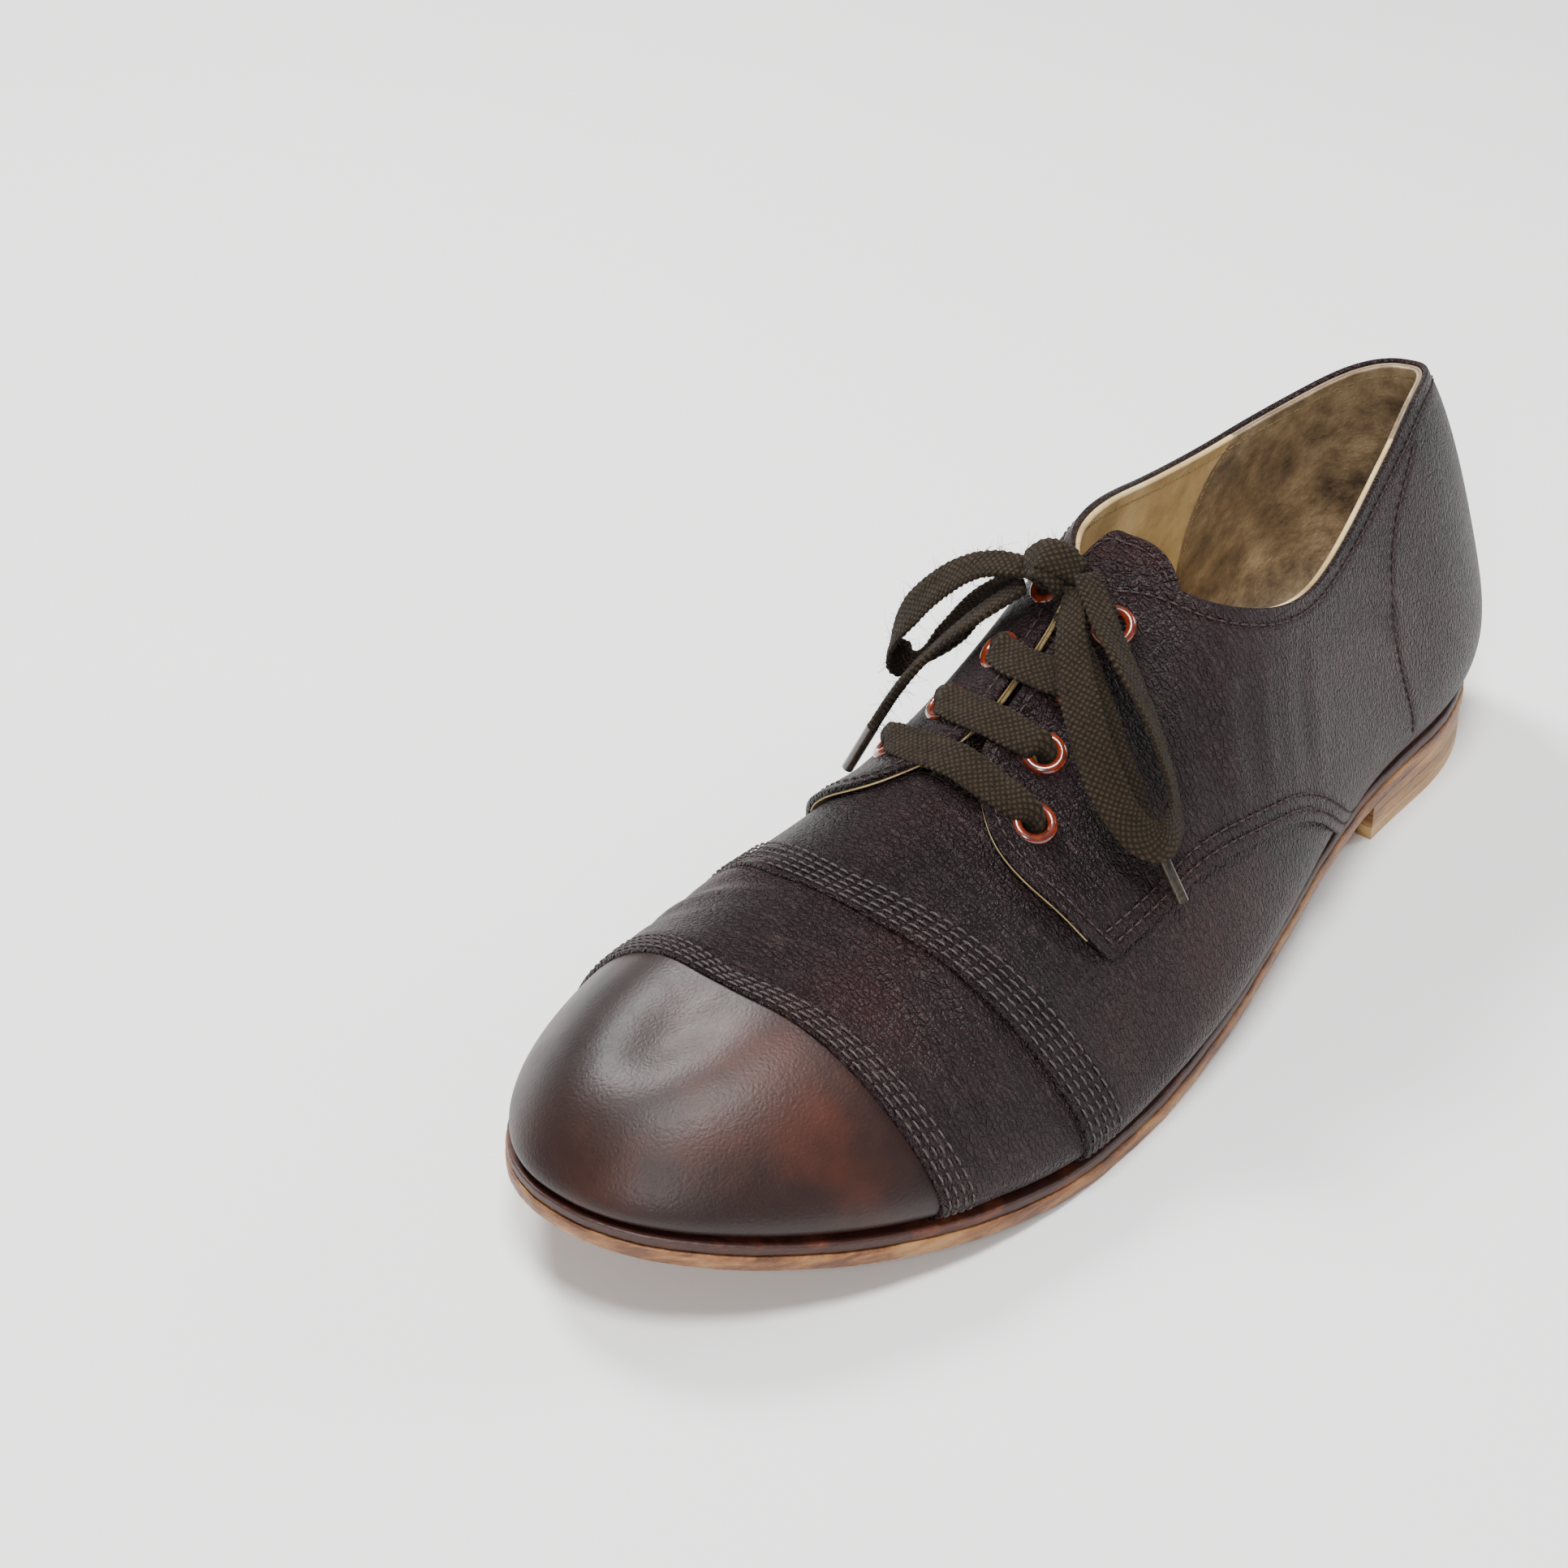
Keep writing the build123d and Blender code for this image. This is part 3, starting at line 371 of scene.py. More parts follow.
def plan_inverse(plan: Array) -> tuple[Array, Array, Array]:
    """Return the (run, rise, side) of plan positions in the front half of the shoe."""
    x, y = plan[..., 0], plan[..., 1]
    station = (x / LAST.sole_length - LAST.CREST[0]) / (LAST.CREST[-1] - LAST.CREST[0])
    side = np.where(y >= LAST.centre_y(np.clip(station, 0, 1)), 1, -1)
    low, high = np.full(x.shape, 0.3), np.ones(x.shape)
    for _ in range(30):
        run = (low + high) / 2
        crest, edge = LAST.crest_point(run), LAST.edge_point(run, side)
        turn = ((edge[..., 0] - crest[..., 0]) * (y - crest[..., 1])
                - (edge[..., 1] - crest[..., 1]) * (x - crest[..., 0]))
        ahead = turn * side < 0
        low, high = np.where(ahead, run, low), np.where(ahead, high, run)
    reach = np.hypot(edge[..., 0] - crest[..., 0], edge[..., 1] - crest[..., 1])
    return run, np.maximum(0, 1 - np.hypot(x - crest[..., 0], y - crest[..., 1]) / reach), side


def toe_chart(rear: Line, tip_run: float = 0.90) -> Chart:
    """Return the chart of a panel from an across-line forward round the whole toe."""
    def side_edge(side: float) -> Line:
        start = float(rear(np.array(1.0)))
        return lambda k: plan_place(start + (tip_run - start) * k, np.full(k.shape, side))

    def tip(k: Array) -> Array:
        return plan_place(1 - (1 - tip_run) * np.abs(2 * k - 1), np.where(k <= 0.5, 1.0, -1.0))

    def chart(a: Array, b: Array) -> tuple[Array, Array, Array]:
        plan = patch(lambda k: plan_place(rear(1 - 2 * k), 1 - 2 * k), tip, side_edge(1), side_edge(-1), a, b)
        run, rise, side = plan_inverse(plan)
        return run, np.where((b == 1) | (a == 0) | (a == 1), 0, rise), side
    return chart


def share_at(path: Line, run: float) -> float:
    """Return how far along a path its run value is reached."""
    shares = np.linspace(0, 1, 2001)
    return float(np.interp(run, path(shares)[:, 0], shares))


def relaxed(bottom: Line, top: Line, left: Line, right: Line, side: int,
            rows: int = 21, columns: int = 49, rounds: int = 1500) -> Chart:
    """Return a patch whose inner places are spread evenly, so that it never folds over.

    Args:
        bottom, top, left, right: the patch's four edge curves.
        side: the side of the shoe it is on.
        rows, columns: the size of the grid that is relaxed.
        rounds: how many times the inner places are moved.

    Returns:
        The chart, smooth between the places of that grid.
    """
    a, b = np.meshgrid(np.linspace(0, 1, columns), np.linspace(0, 1, rows))
    table = patch(bottom, top, left, right, a, b) * (RUN_TO_RISE, 1)
    for _ in range(rounds):
        along = (table[1:-1, 2:] - table[1:-1, :-2]) / 2
        up = (table[2:, 1:-1] - table[:-2, 1:-1]) / 2
        shear = (along * up).sum(axis=2, keepdims=True)
        spread, climb = (along ** 2).sum(axis=2, keepdims=True), (up ** 2).sum(axis=2, keepdims=True)
        corners = table[2:, 2:] - table[2:, :-2] - table[:-2, 2:] + table[:-2, :-2]
        table[1:-1, 1:-1] = (climb * (table[1:-1, 2:] + table[1:-1, :-2])
                             + spread * (table[2:, 1:-1] + table[:-2, 1:-1])
                             - shear * corners / 2) / (2 * (spread + climb))
    table = table / (RUN_TO_RISE, 1)

    def chart(a: Array, b: Array) -> tuple[Array, Array, Array]:
        rows_at = NaturalCurve(np.linspace(0, 1, rows), table.reshape(rows, -1))(b[:, 0])
        grid = rows_at.reshape(len(b), columns, 2).transpose(1, 0, 2).reshape(columns, -1)
        fine = NaturalCurve(np.linspace(0, 1, columns), grid)(a[0]).reshape(a.shape[1], len(b), 2)
        run, rise = fine.transpose(1, 0, 2)[..., 0], fine.transpose(1, 0, 2)[..., 1]
        return np.clip(run, 0, 1), np.clip(rise, 0, 1), np.full(a.shape, side)
    return chart


# ---------------------------------------------------------------- pattern lines
CAP_SEAM = arc_line(227.0, 222.5)
VAMP_SEAM = arc_line(200.5, 190.3)
VAMP_REAR = across_line([(0, 0.606), (0.2, 0.604), (0.3, 0.600), (0.4, 0.588), (0.5, 0.560), (0.6, 0.511),
                         (0.8, 0.432), (1, 0.365)])
TOPLINE = {
    1: [(0, 0.62), (0.12, 0.655), (0.20, 0.637), (0.285, 0.535), (0.350, 0.455), (0.388, 0.455),
        (0.417, 0.505), (0.440, 0.59), (0.458, 0.71), (0.468, 0.84), (0.476, 0.93)],
    -1: [(0, 0.62), (0.12, 0.56), (0.175, 0.51), (0.245, 0.467), (0.322, 0.475), (0.372, 0.53),
         (0.415, 0.63), (0.448, 0.75), (0.465, 0.85), (0.476, 0.93)]}
QUARTER_FRONT = [(0.588, 0.397), (0.598, 0.48), (0.605, 0.553), (0.613, 0.643), (0.615, 0.76),
                 (0.606, 0.85), (0.595, 0.915), (0.572, 0.958), (0.54, 0.968), (0.50, 0.968), (0.476, 0.93)]
QUARTER_FOOT = [(0, 0), (0.12, 0), (0.24, 0), (0.34, 0), (0.37, 0.008), (0.395, 0.04), (0.42, 0.105),
                (0.445, 0.17), (0.473, 0.233), (0.50, 0.30), (0.525, 0.35), (0.55, 0.373), (0.588, 0.397)]
LINING_FOOT = [(0.29, 0), (0.32, 0), (0.345, 0.004), (0.37, 0.035), (0.395, 0.11), (0.422, 0.2), (0.498, 0.4),
               (0.536, 0.48)]
LINING_FRONT = [(0.536, 0.48), (0.560, 0.55), (0.575, 0.64), (0.585, 0.76), (0.585, 0.87), (0.568, 0.94),
                (0.54, 0.962), (0.50, 0.962)]
HEEL_PANEL = [(0.29, 0), (0.303, 0.2), (0.290, 0.36)]
HEEL_PANEL_TOP = {1: 0.245, -1: 0.262}
TONGUE_SIDE = [(0.604, 0.30), (0.56, 0.37), (0.51, 0.40), (0.470, 0.34)]
TONGUE_END = [(0.470, 0.34), (0.452, 0.18), (0.448, 0), (0.452, -0.18), (0.470, -0.34)]
EYELETS = {1: [(0.590, 0.713), (0.562, 0.805), (0.528, 0.840), (0.495, 0.862)],
           -1: [(0.572, 0.645), (0.553, 0.750), (0.524, 0.832), (0.489, 0.880)]}
HEEL_STITCH = {
    1: [(0.228, 0.553), (0.273, 0.45), (0.297, 0.353), (0.307, 0.25), (0.307, 0.15), (0.29, 0.03)],
    -1: [(0.246, 0.452), (0.276, 0.40), (0.297, 0.330), (0.307, 0.25), (0.307, 0.15), (0.29, 0.03)]}


class Side(Enum):
    """A side of the shoe."""
    LATERAL = 1
    MEDIAL = -1


def quarter_chart(side: int) -> Chart:
    """Return the chart of an outer quarter."""
    start = TOPLINE[side][0][1]
    return relaxed(path_through(QUARTER_FOOT), path_through(TOPLINE[side]),
                   lambda k: np.stack([np.zeros(k.shape), start * k], -1), path_through(QUARTER_FRONT), side)


def heel_line(side: int) -> Line:
    """Return the line that the heel pieces end on, from the sole to the topline."""
    top = path_through(TOPLINE[side])
    return path_through(HEEL_PANEL + [tuple(top(np.array(share_at(top, HEEL_PANEL_TOP[side]))))])


def quarter_lining_chart(side: int) -> Chart:
    """Return the chart of a quarter lining, from the heel line to the vamp and the facing."""
    top = path_through(TOPLINE[side])
    start = share_at(top, HEEL_PANEL_TOP[side])
    front = path_through(LINING_FRONT + [tuple(top(np.array(1.0)))])
    return relaxed(path_through(LINING_FOOT), lambda k: top(start + (1 - start) * k), heel_line(side), front, side,
                   columns=37)


def heel_chart(a: Array, b: Array) -> tuple[Array, Array, Array]:
    """Return the chart of a piece round the heel, from the medial to the lateral heel line."""
    def signed(path: Line, side: int) -> Line:
        return lambda k: path(k) * (side, 1)

    def top(k: Array) -> Array:
        found = []
        for side in (-1, 1):
            line = path_through(TOPLINE[side])
            found.append(signed(line, side)(np.abs(2 * k - 1) * share_at(line, HEEL_PANEL_TOP[side])))
        return np.where((k >= 0.5)[..., None], found[1], found[0])

    reach = HEEL_PANEL[0][0]
    places = patch(lambda k: np.stack([reach * (2 * k - 1), np.zeros(k.shape)], -1), top,
                   signed(heel_line(-1), -1), signed(heel_line(1), 1), a, b)
    return np.abs(places[..., 0]), np.clip(places[..., 1], 0, 1), np.where(places[..., 0] >= 0, 1, -1)


def tongue_chart(a: Array, b: Array) -> tuple[Array, Array, Array]:
    """Return the chart of the tongue, from the throat back to its rounded end."""
    side_line = path_through(TONGUE_SIDE)
    throat, half = TONGUE_SIDE[0]
    places = patch(lambda k: np.stack([np.full(k.shape, throat), half * (1 - 2 * k)], -1),
                   path_through(TONGUE_END), side_line, lambda k: side_line(k) * (1, -1), a, b)
    return places[..., 0], 1 - np.abs(places[..., 1]), np.where(places[..., 1] >= 0, 1, -1)


# ---------------------------------------------------------------- meshes
def new_object(name: str, places: Array, faces: Sequence, material: bpy.types.Material) -> bpy.types.Object:
    """Make a mesh object, shaded smooth.

    Args:
        name: the piece's name.
        places: its vertices, in millimetres in the maker's frame.
        faces: lists of vertex numbers.
        material: its finish.

    Returns:
        The object, in the scene.
    """
    mesh = bpy.data.meshes.new(name)
    mesh.from_pydata(Place.world(places).tolist(), [], faces)
    mesh.validate()
    mesh.polygons.foreach_set("use_smooth", np.ones(len(mesh.polygons), bool))
    mesh.materials.append(material)
    piece = bpy.data.objects.new(name, mesh)
    bpy.context.scene.collection.objects.link(piece)
    return piece


def grid_faces(rows: int, columns: int, keep: Optional[Array] = None) -> Array:
    """Return the quads of a grid whose vertices are numbered row by row, as an (n, 4) array."""
    number = np.arange(rows * columns).reshape(rows, columns)
    quads = np.stack([number[:-1, :-1], number[:-1, 1:], number[1:, 1:], number[1:, :-1]], -1)
    return quads[keep] if keep is not None else quads.reshape(-1, 4)


EDGE_TURNS = (0.2, 0.5, 0.8)       # where the rings that round an edge stand, outside to inside


def leather_sheet(name: str, outer: Array, inner: Array, material: bpy.types.Material,
                  keep: Optional[Array] = None, proud: float = 0.25) -> bpy.types.Object:
    """Make a closed sheet with rounded edges from its two skins.

    Args:
        name: the piece's name.
        outer, inner: grids of places, outside and inside.
        material: its finish.
        keep: which cells of the grid are leather; a hole is left elsewhere.
        proud: how far the rounded edge stands out past the grid.

    Returns:
        The sheet.
    """
    rows, columns = outer.shape[:2]
    quads = grid_faces(rows, columns, keep)
    count = rows * columns
    skins = [outer.reshape(-1, 3), inner.reshape(-1, 3)]
    corners = np.concatenate([quads[:, [i, (i + 1) % 4]] for i in range(4)])
    keys = np.minimum(corners[:, 0], corners[:, 1]) * count + np.maximum(corners[:, 0], corners[:, 1])
    _, first, times = np.unique(keys, return_index=True, return_counts=True)
    border = corners[first[times == 1]]
    owner = np.tile(np.arange(len(quads)), 4)[first[times == 1]]
    centre = (skins[0][quads[owner]].mean(axis=1) + skins[1][quads[owner]].mean(axis=1)) / 2
    push = np.zeros((count, 3))
    for end in (0, 1):
        np.add.at(push, border[:, end], (skins[0][border[:, end]] + skins[1][border[:, end]]) / 2 - centre)
    rim = np.unique(border)
    along = np.zeros((count, 3))
    way = skins[0][border[:, 1]] - skins[0][border[:, 0]]
    for end in (0, 1):
        np.add.at(along, border[:, end], way)
    through = normalised(skins[0] - skins[1])
    push -= normalised(along) * (push * normalised(along)).sum(-1, keepdims=True)
    push -= through * (push * through).sum(-1, keepdims=True)
    push = normalised(push)
    rings = [skins[0][rim] + (skins[1][rim] - skins[0][rim]) * turn + push[rim] * proud * math.sin(math.pi * turn)
             for turn in EDGE_TURNS]
    place_of = np.full(count, -1)
    place_of[rim] = np.arange(len(rim))
    ladder = [border] + [2 * count + k * len(rim) + place_of[border] for k in range(len(rings))] + [border + count]
    walls = [np.stack([low[:, 1], low[:, 0], high[:, 0], high[:, 1]], -1) for low, high in zip(ladder, ladder[1:])]
    faces = np.concatenate([quads, quads[:, ::-1] + count] + walls)
    places = np.concatenate(skins + rings)
    used = np.unique(faces)
    numbers = np.full(len(places), -1)
    numbers[used] = np.arange(len(used))
    return new_object(name, places[used], numbers[faces].tolist(), material)


def resample(path: Array, step: float) -> Array:
    """Return places a step apart along a polyline, both its ends kept."""
    lengths = np.concatenate([[0], np.cumsum(np.linalg.norm(np.diff(path, axis=0), axis=1))])
    count = max(int(round(lengths[-1] / step)), 2)
    at = np.linspace(0, lengths[-1], count + 1)
    return np.stack([np.interp(at, lengths, path[:, k]) for k in range(path.shape[1])], -1)


def nearest(places: Array, targets: Array, block: int = 4000) -> Array:
    """Return each place's distance to the nearest target."""
    found = []
    for start in range(0, len(places), block):
        part = places[start:start + block]
        gaps = (part ** 2).sum(1)[:, None] + (targets ** 2).sum(1)[None] - 2 * part @ targets.T
        found.append(np.sqrt(np.maximum(gaps.min(axis=1), 0)))
    return np.concatenate(found)


@dataclass(frozen=True)
class Crease:
    """A fold worn into the leather along a line on the last.

    Attributes:
        line: (run, rise) places along it.
        side: the side of the shoe it starts on.
        depth: how deep the groove is in the middle.
        width: half the groove's width.
    """
    line: tuple[tuple[float, float], ...]
    side: int
    depth: float
    width: float

    def places(self) -> Array:
        """Return places along the fold on the last."""
        run, rise = path_through(self.line)(np.linspace(0, 1, 60)).T
        side = np.where(rise > 1, -self.side, self.side)
        return LAST.point(run, np.where(rise > 1, 2 - rise, rise), side)

    def relief(self, places: Array) -> Array:
        """Return how far the fold moves places on the last in or out: a groove between low ridges."""
        path = self.places()
        gaps = np.linalg.norm(places[:, None] - path[None], axis=2)
        near, where = gaps.min(axis=1), gaps.argmin(axis=1) / (len(path) - 1)
        fade = np.sin(np.pi * np.clip(where, 0.02, 0.98)) ** 0.7
        groove = -np.exp(-(near / self.width) ** 2) + 0.45 * np.exp(-((near - 2.1 * self.width) / self.width) ** 2)
        return self.depth * fade * groove


@dataclass
class Panel:
    """A piece of leather cut to a chart and laid on the last.

    Attributes:
        name: the piece's name.
        chart: where it lies.
        out: how far its outer face stands out from the last.
        thick: its thickness.
        rows, columns: how finely it is made.
        lift: extra height of the sheet, as a function of the chart's a, b and the places.
        holes: (run, rise) centres of round holes.
        hole_radius: their radius.
        creases: the folds worn into it.
        channels: places along the rows of stitches that pull its outer face in.
        channel_depth, channel_width: the size of the furrow along such a row.
    """
    name: str
    chart: Chart
    out: float
    thick: float
    rows: int = 120
    columns: int = 200
    lift: Optional[Callable[[Array, Array, Array], Array]] = None
    holes: Sequence[tuple[float, float]] = ()
    hole_radius: float = 2.85
    creases: Sequence[Crease] = ()
    channels: list[Array] = field(default_factory=list)
    channel_depth: float = 0.22
    channel_width: float = 0.75

    def build(self, material: bpy.types.Material) -> bpy.types.Object:
        """Make the panel.

        Args:
            material: its finish.

        Returns:
            The finished piece.
        """
        a, b = np.meshgrid(np.linspace(0, 1, self.columns), np.linspace(0, 1, self.rows))
        run, rise, side = self.chart(a, b)
        base = LAST.place(run, rise, side, self.out)
        normal = LAST.outward(run, rise, side)
        height = np.zeros(a.shape)
        if self.lift is not None:
            height += self.lift(a, b, base)
        flat = base.reshape(-1, 3)
        for crease in self.creases:
            height += crease.relief(flat).reshape(a.shape)
        skin_height = height.copy()
        if self.channels:
            gap = nearest(flat, np.concatenate(self.channels)).reshape(a.shape)
            skin_height -= self.channel_depth * np.exp(-(gap / self.channel_width) ** 2)
        outer = base + normal * skin_height[..., None]
        inner = LAST.place(run, rise, side, self.out - self.thick) + normal * height[..., None]
        keep = None
        if self.holes:
            centre = outer[:-1, :-1] + outer[1:, 1:]
            keep = np.ones(centre.shape[:2], bool)
            for hole_run, hole_rise in self.holes:
                middle = LAST.place(hole_run, hole_rise, side[0, 0], self.out)
                keep &= np.linalg.norm(centre / 2 - middle, axis=-1) > self.hole_radius
        return leather_sheet(self.name, outer, inner, material, keep)


# ---------------------------------------------------------------- stitches
@dataclass(frozen=True)
class Seam:
    """A row of lockstitches over the upper.

    Attributes:
        line: (run, rise) pairs with the side of each place, as an (n, 3) array.
        out: how far the leather's face stands out from the last there, one number or one for each place.
        length: how long each stitch shows.
        pitch: from one stitch to the next.
        radius: half the thread's thickness.
    """
    line: Array
    out: Array
    length: float = 2.1
    pitch: float = 2.7
    radius: float = 0.24

    def route(self) -> Array:
        """Return the row's places and normals, a short step apart."""
        run, rise, side = self.line.T
        out = np.broadcast_to(self.out, run.shape)
        places = LAST.place(run, rise, side, out)
        normals = LAST.outward(run, rise, side)
        return resample(np.concatenate([places, normals], -1), 0.3)

    def mesh(self) -> tuple[Array, Array]:
        """Return the stitches' vertices and faces, each stitch a bowed thread that dives in at both ends."""
        route = self.route()
        steps = np.concatenate([[0], np.cumsum(np.linalg.norm(np.diff(route[:, :3], axis=0), axis=1))])
        starts = np.arange(self.pitch / 3, steps[-1] - self.length, self.pitch)
        share = np.linspace(0, 1, 6)
        at = starts[:, None] + share * self.length
        route_at = np.stack([np.interp(at, steps, route[:, k]) for k in range(6)], -1)
        centre, normal = route_at[..., :3], normalised(route_at[..., 3:])
        along = normalised(np.gradient(centre, axis=1))
        across = normalised(np.cross(along, normal))
        bow = np.sin(np.pi * share)
        centre = centre + normal * ((-0.75 + 0.85 * bow ** 0.6) * self.radius)[None, :, None]
        thick = self.radius * (0.55 + 0.45 * bow)
        turn = np.linspace(0, 2 * np.pi, 7)[:-1]
        ring = (across[:, :, None] * np.cos(turn)[None, None, :, None]
                + normal[:, :, None] * np.sin(turn)[None, None, :, None])
        places = centre[:, :, None] + ring * thick[None, :, None, None]
        count, rings, sides = places.shape[:3]
        number = np.arange(count * rings * sides).reshape(count, rings, sides)
        wrapped = np.roll(number, -1, axis=2)
        quads = np.stack([number[:, :-1], number[:, 1:], wrapped[:, 1:], wrapped[:, :-1]], -1).reshape(-1, 4)
        caps = [number[:, end, ::way][:, [0, 1, 2, 3]] for end, way in ((0, 1), (-1, -1))]
        caps += [number[:, end, ::way][:, [0, 3, 4, 5]] for end, way in ((0, 1), (-1, -1))]
        return places.reshape(-1, 3), np.concatenate([quads] + caps)


FINE_STITCH = (1.9, 2.5, 0.2)      # length, pitch and radius of the stitches in fine thread


def thread(name: str, seams: Sequence[Seam], material: bpy.types.Material) -> bpy.types.Object:
    """Make one piece of thread from several rows of stitches."""
    places, faces, count = [], [], 0
    for seam in seams:
        row_places, row_faces = seam.mesh()
        places.append(row_places)
        faces.append(row_faces + count)
        count += len(row_places)
    return new_object(name, np.concatenate(places), np.concatenate(faces).tolist(), material)


def across_row(line: Line, offset: float, edge: float = 0.985, places: int = 160) -> Array:
    """Return a row that crosses the shoe a given share of run behind an across-line."""
    across = np.linspace(edge, -edge, places)
    return np.stack([line(across) - offset, 1 - np.abs(across), np.where(across >= 0, 1, -1)], -1)


def side_row(points: Sequence[tuple[float, float]], side: int, inset: float = 0.0, start: float = 0.0,
             end: float = 1.0, places: int = 240) -> Array:
    """Return a row that follows a pattern line on one side of the shoe.

    Args:
        points: the line's (run, rise) places.
        side: the side of the shoe.
        inset: how far inside the line the row is, in millimetres, to the left of the line's direction.
        start, end: the stretch of the line it follows.
        places: how many places to return.

    Returns:
        An (n, 3) array of run, rise and side.
    """
    path = path_through(points)
    k = np.linspace(start, end, places)
    here = path(k)
    place = LAST.point(here[:, 0], here[:, 1], side)
    step = 1e-3
    per_run = np.linalg.norm(LAST.point(here[:, 0] + step, here[:, 1], side) - place, axis=1) / step
    per_rise = np.linalg.norm(LAST.point(here[:, 0], np.minimum(here[:, 1] + step, 1), side) - place, axis=1) / step
    way = normalised(np.gradient(here, axis=0) * np.stack([per_run, per_rise], -1))
    left = np.stack([-way[:, 1], way[:, 0]], -1) * inset
    moved = here + left / np.stack([per_run, per_rise], -1)
    return np.column_stack([np.clip(moved[:, 0], 0, 1), np.clip(moved[:, 1], 0, 1), np.full(places, side)])


# ---------------------------------------------------------------- laces
def nurbs_path(name: str, points: Sequence, step: float = 0.25) -> Array:
    """Return places along the smooth curve that a route's points control.

    Args:
        name: a name for the curve while it is read.
        points: the route, in millimetres in the maker's frame.
        step: how far apart the places are.

    Returns:
        The places, in millimetres in the maker's frame.
    """
    curve = bpy.data.curves.new(name, "CURVE")
    curve.dimensions = "3D"
    curve.resolution_u = 24
    spline = curve.splines.new("NURBS")
    spline.points.add(len(points) - 1)
    for point, place in zip(spline.points, Place.world(np.array(points, float))):
        point.co = (*place, 1)
    spline.order_u = 3
    spline.use_endpoint_u = True
    holder = bpy.data.objects.new(name, curve)
    bpy.context.scene.collection.objects.link(holder)
    mesh = bpy.data.meshes.new_from_object(holder)
    places = np.array([vertex.co for vertex in mesh.vertices]) / MM + Place.origin
    bpy.data.objects.remove(holder)
    return resample(places, step)


@dataclass
class Lace:
    """A flat braided lace along a route.

    Attributes:
        name: the piece's name.
        path: places along its middle.
        facing: rough directions its flat face looks in, spread evenly along it.
        width: widths spread evenly along it.
        thick: its thickness.
        full_width: the width it is woven to; it thickens where it is gathered narrower.
        braid_pitch, braid_column, braid_relief: length, width and height of the braid's chevrons.
        rib: the share of a column taken by the furrow on each of its sides.
        end_round: the length over which its ends are rounded.
        girth: how many vertices go round it.
    """
    name: str
    path: Array
    facing: Sequence[tuple[float, float, float]]
    width: Sequence[float] = (7.5, 7.5)
    thick: float = 1.25
    braid_pitch: float = 1.5
    braid_column: float = 1.9
    braid_relief: float = 0.24
    rib: float = 0.14
    end_round: float = 0.8
    full_width: float = 7.5
    girth: int = 36

    def frames(self) -> tuple[Array, Array, Array]:
        """Return the tangent, the sideways and the facing direction at each place."""
        along = normalised(np.gradient(self.path, axis=0))
        share = np.linspace(0, 1, len(self.path))
        stations = np.linspace(0, 1, len(self.facing))
        guide = np.stack([np.interp(share, stations, np.array(self.facing, float)[:, k]) for k in range(3)], -1)
        across = normalised(np.cross(along, guide))
        return along, across, normalised(np.cross(across, along))

    def build(self, material: bpy.types.Material) -> bpy.types.Object:
        """Make the lace, its braid raised on the mesh and its length and width kept as UV for the yarn.

        Args:
            material: the yarn.

        Returns:
            The lace.
        """
        along, across, face = self.frames()
        share = np.linspace(0, 1, len(self.path))
        half = np.interp(share, np.linspace(0, 1, len(self.width)), self.width) / 2
        lengths = np.concatenate([[0], np.cumsum(np.linalg.norm(np.diff(self.path, axis=0), axis=1))])
        turn = np.linspace(0, 2 * np.pi, self.girth + 1)[:-1]
        wide = np.sign(np.cos(turn)) * np.abs(np.cos(turn)) ** 0.8
        high = np.sign(np.sin(turn)) * np.abs(np.sin(turn)) ** 0.55
        u = wide[None] * half[:, None]
        column = np.abs((u / self.braid_column) % 1 - 0.5) * 2
        chevron = np.cos(2 * np.pi * (lengths[:, None] / self.braid_pitch + 0.75 * column))
        relief = self.braid_relief * (0.5 * chevron - 0.5 * (column > 1 - self.rib) - 0.5 * (column < self.rib))
        thick = self.thick / 2 * np.clip(self.full_width / np.maximum(2 * half, 1), 1, 1.6)
        end_round = np.clip(np.minimum(lengths, lengths[-1] - lengths) / self.end_round, 0.02, 1) ** 0.5
        rise = (high[None] * thick[:, None] + np.sin(turn)[None] * relief) * end_round[:, None]
        places = (self.path[:, None] + across[:, None] * (u + np.cos(turn)[None] * relief)[..., None]
                  + face[:, None] * rise[..., None])
        rows, girth = places.shape[:2]
        number = np.arange(rows * girth).reshape(rows, girth)
        wrapped = np.roll(number, -1, axis=1)
        quads = np.stack([number[:-1], wrapped[:-1], wrapped[1:], number[1:]], -1).reshape(-1, 4)
        faces = quads.tolist() + [number[0, ::-1].tolist(), number[-1].tolist()]
        piece = new_object(self.name, places.reshape(-1, 3), faces, material)
        layer = piece.data.uv_layers.new(name="yarn")
        loops = np.zeros(len(piece.data.loops), int)
        piece.data.loops.foreach_get("vertex_index", loops)
        uv = np.stack([np.broadcast_to(u, (rows, girth)), np.broadcast_to(lengths[:, None], (rows, girth))], -1)
        layer.data.foreach_set("uv", (uv.reshape(-1, 2)[loops] * MM).astype(np.float32).ravel())
        return piece

    def surface(self, count: int, seed: int) -> tuple[Array, Array]:
        """Return random places on the lace and the directions that stand up from it there."""
        rng = np.random.default_rng(seed)
        along, across, face = self.frames()
        at = rng.integers(2, len(self.path) - 2, count)
        turn = rng.uniform(0, 2 * np.pi, count)
        half = np.interp(at / len(self.path), np.linspace(0, 1, len(self.width)), self.width) / 2
        out = across[at] * np.cos(turn)[:, None] + face[at] * np.sin(turn)[:, None]
        place = (self.path[at] + across[at] * (half * np.cos(turn))[:, None]
                 + face[at] * (self.thick / 2 * np.sin(turn))[:, None])
        return place, normalised(out + 0.8 * along[at] * rng.normal(size=count)[:, None])


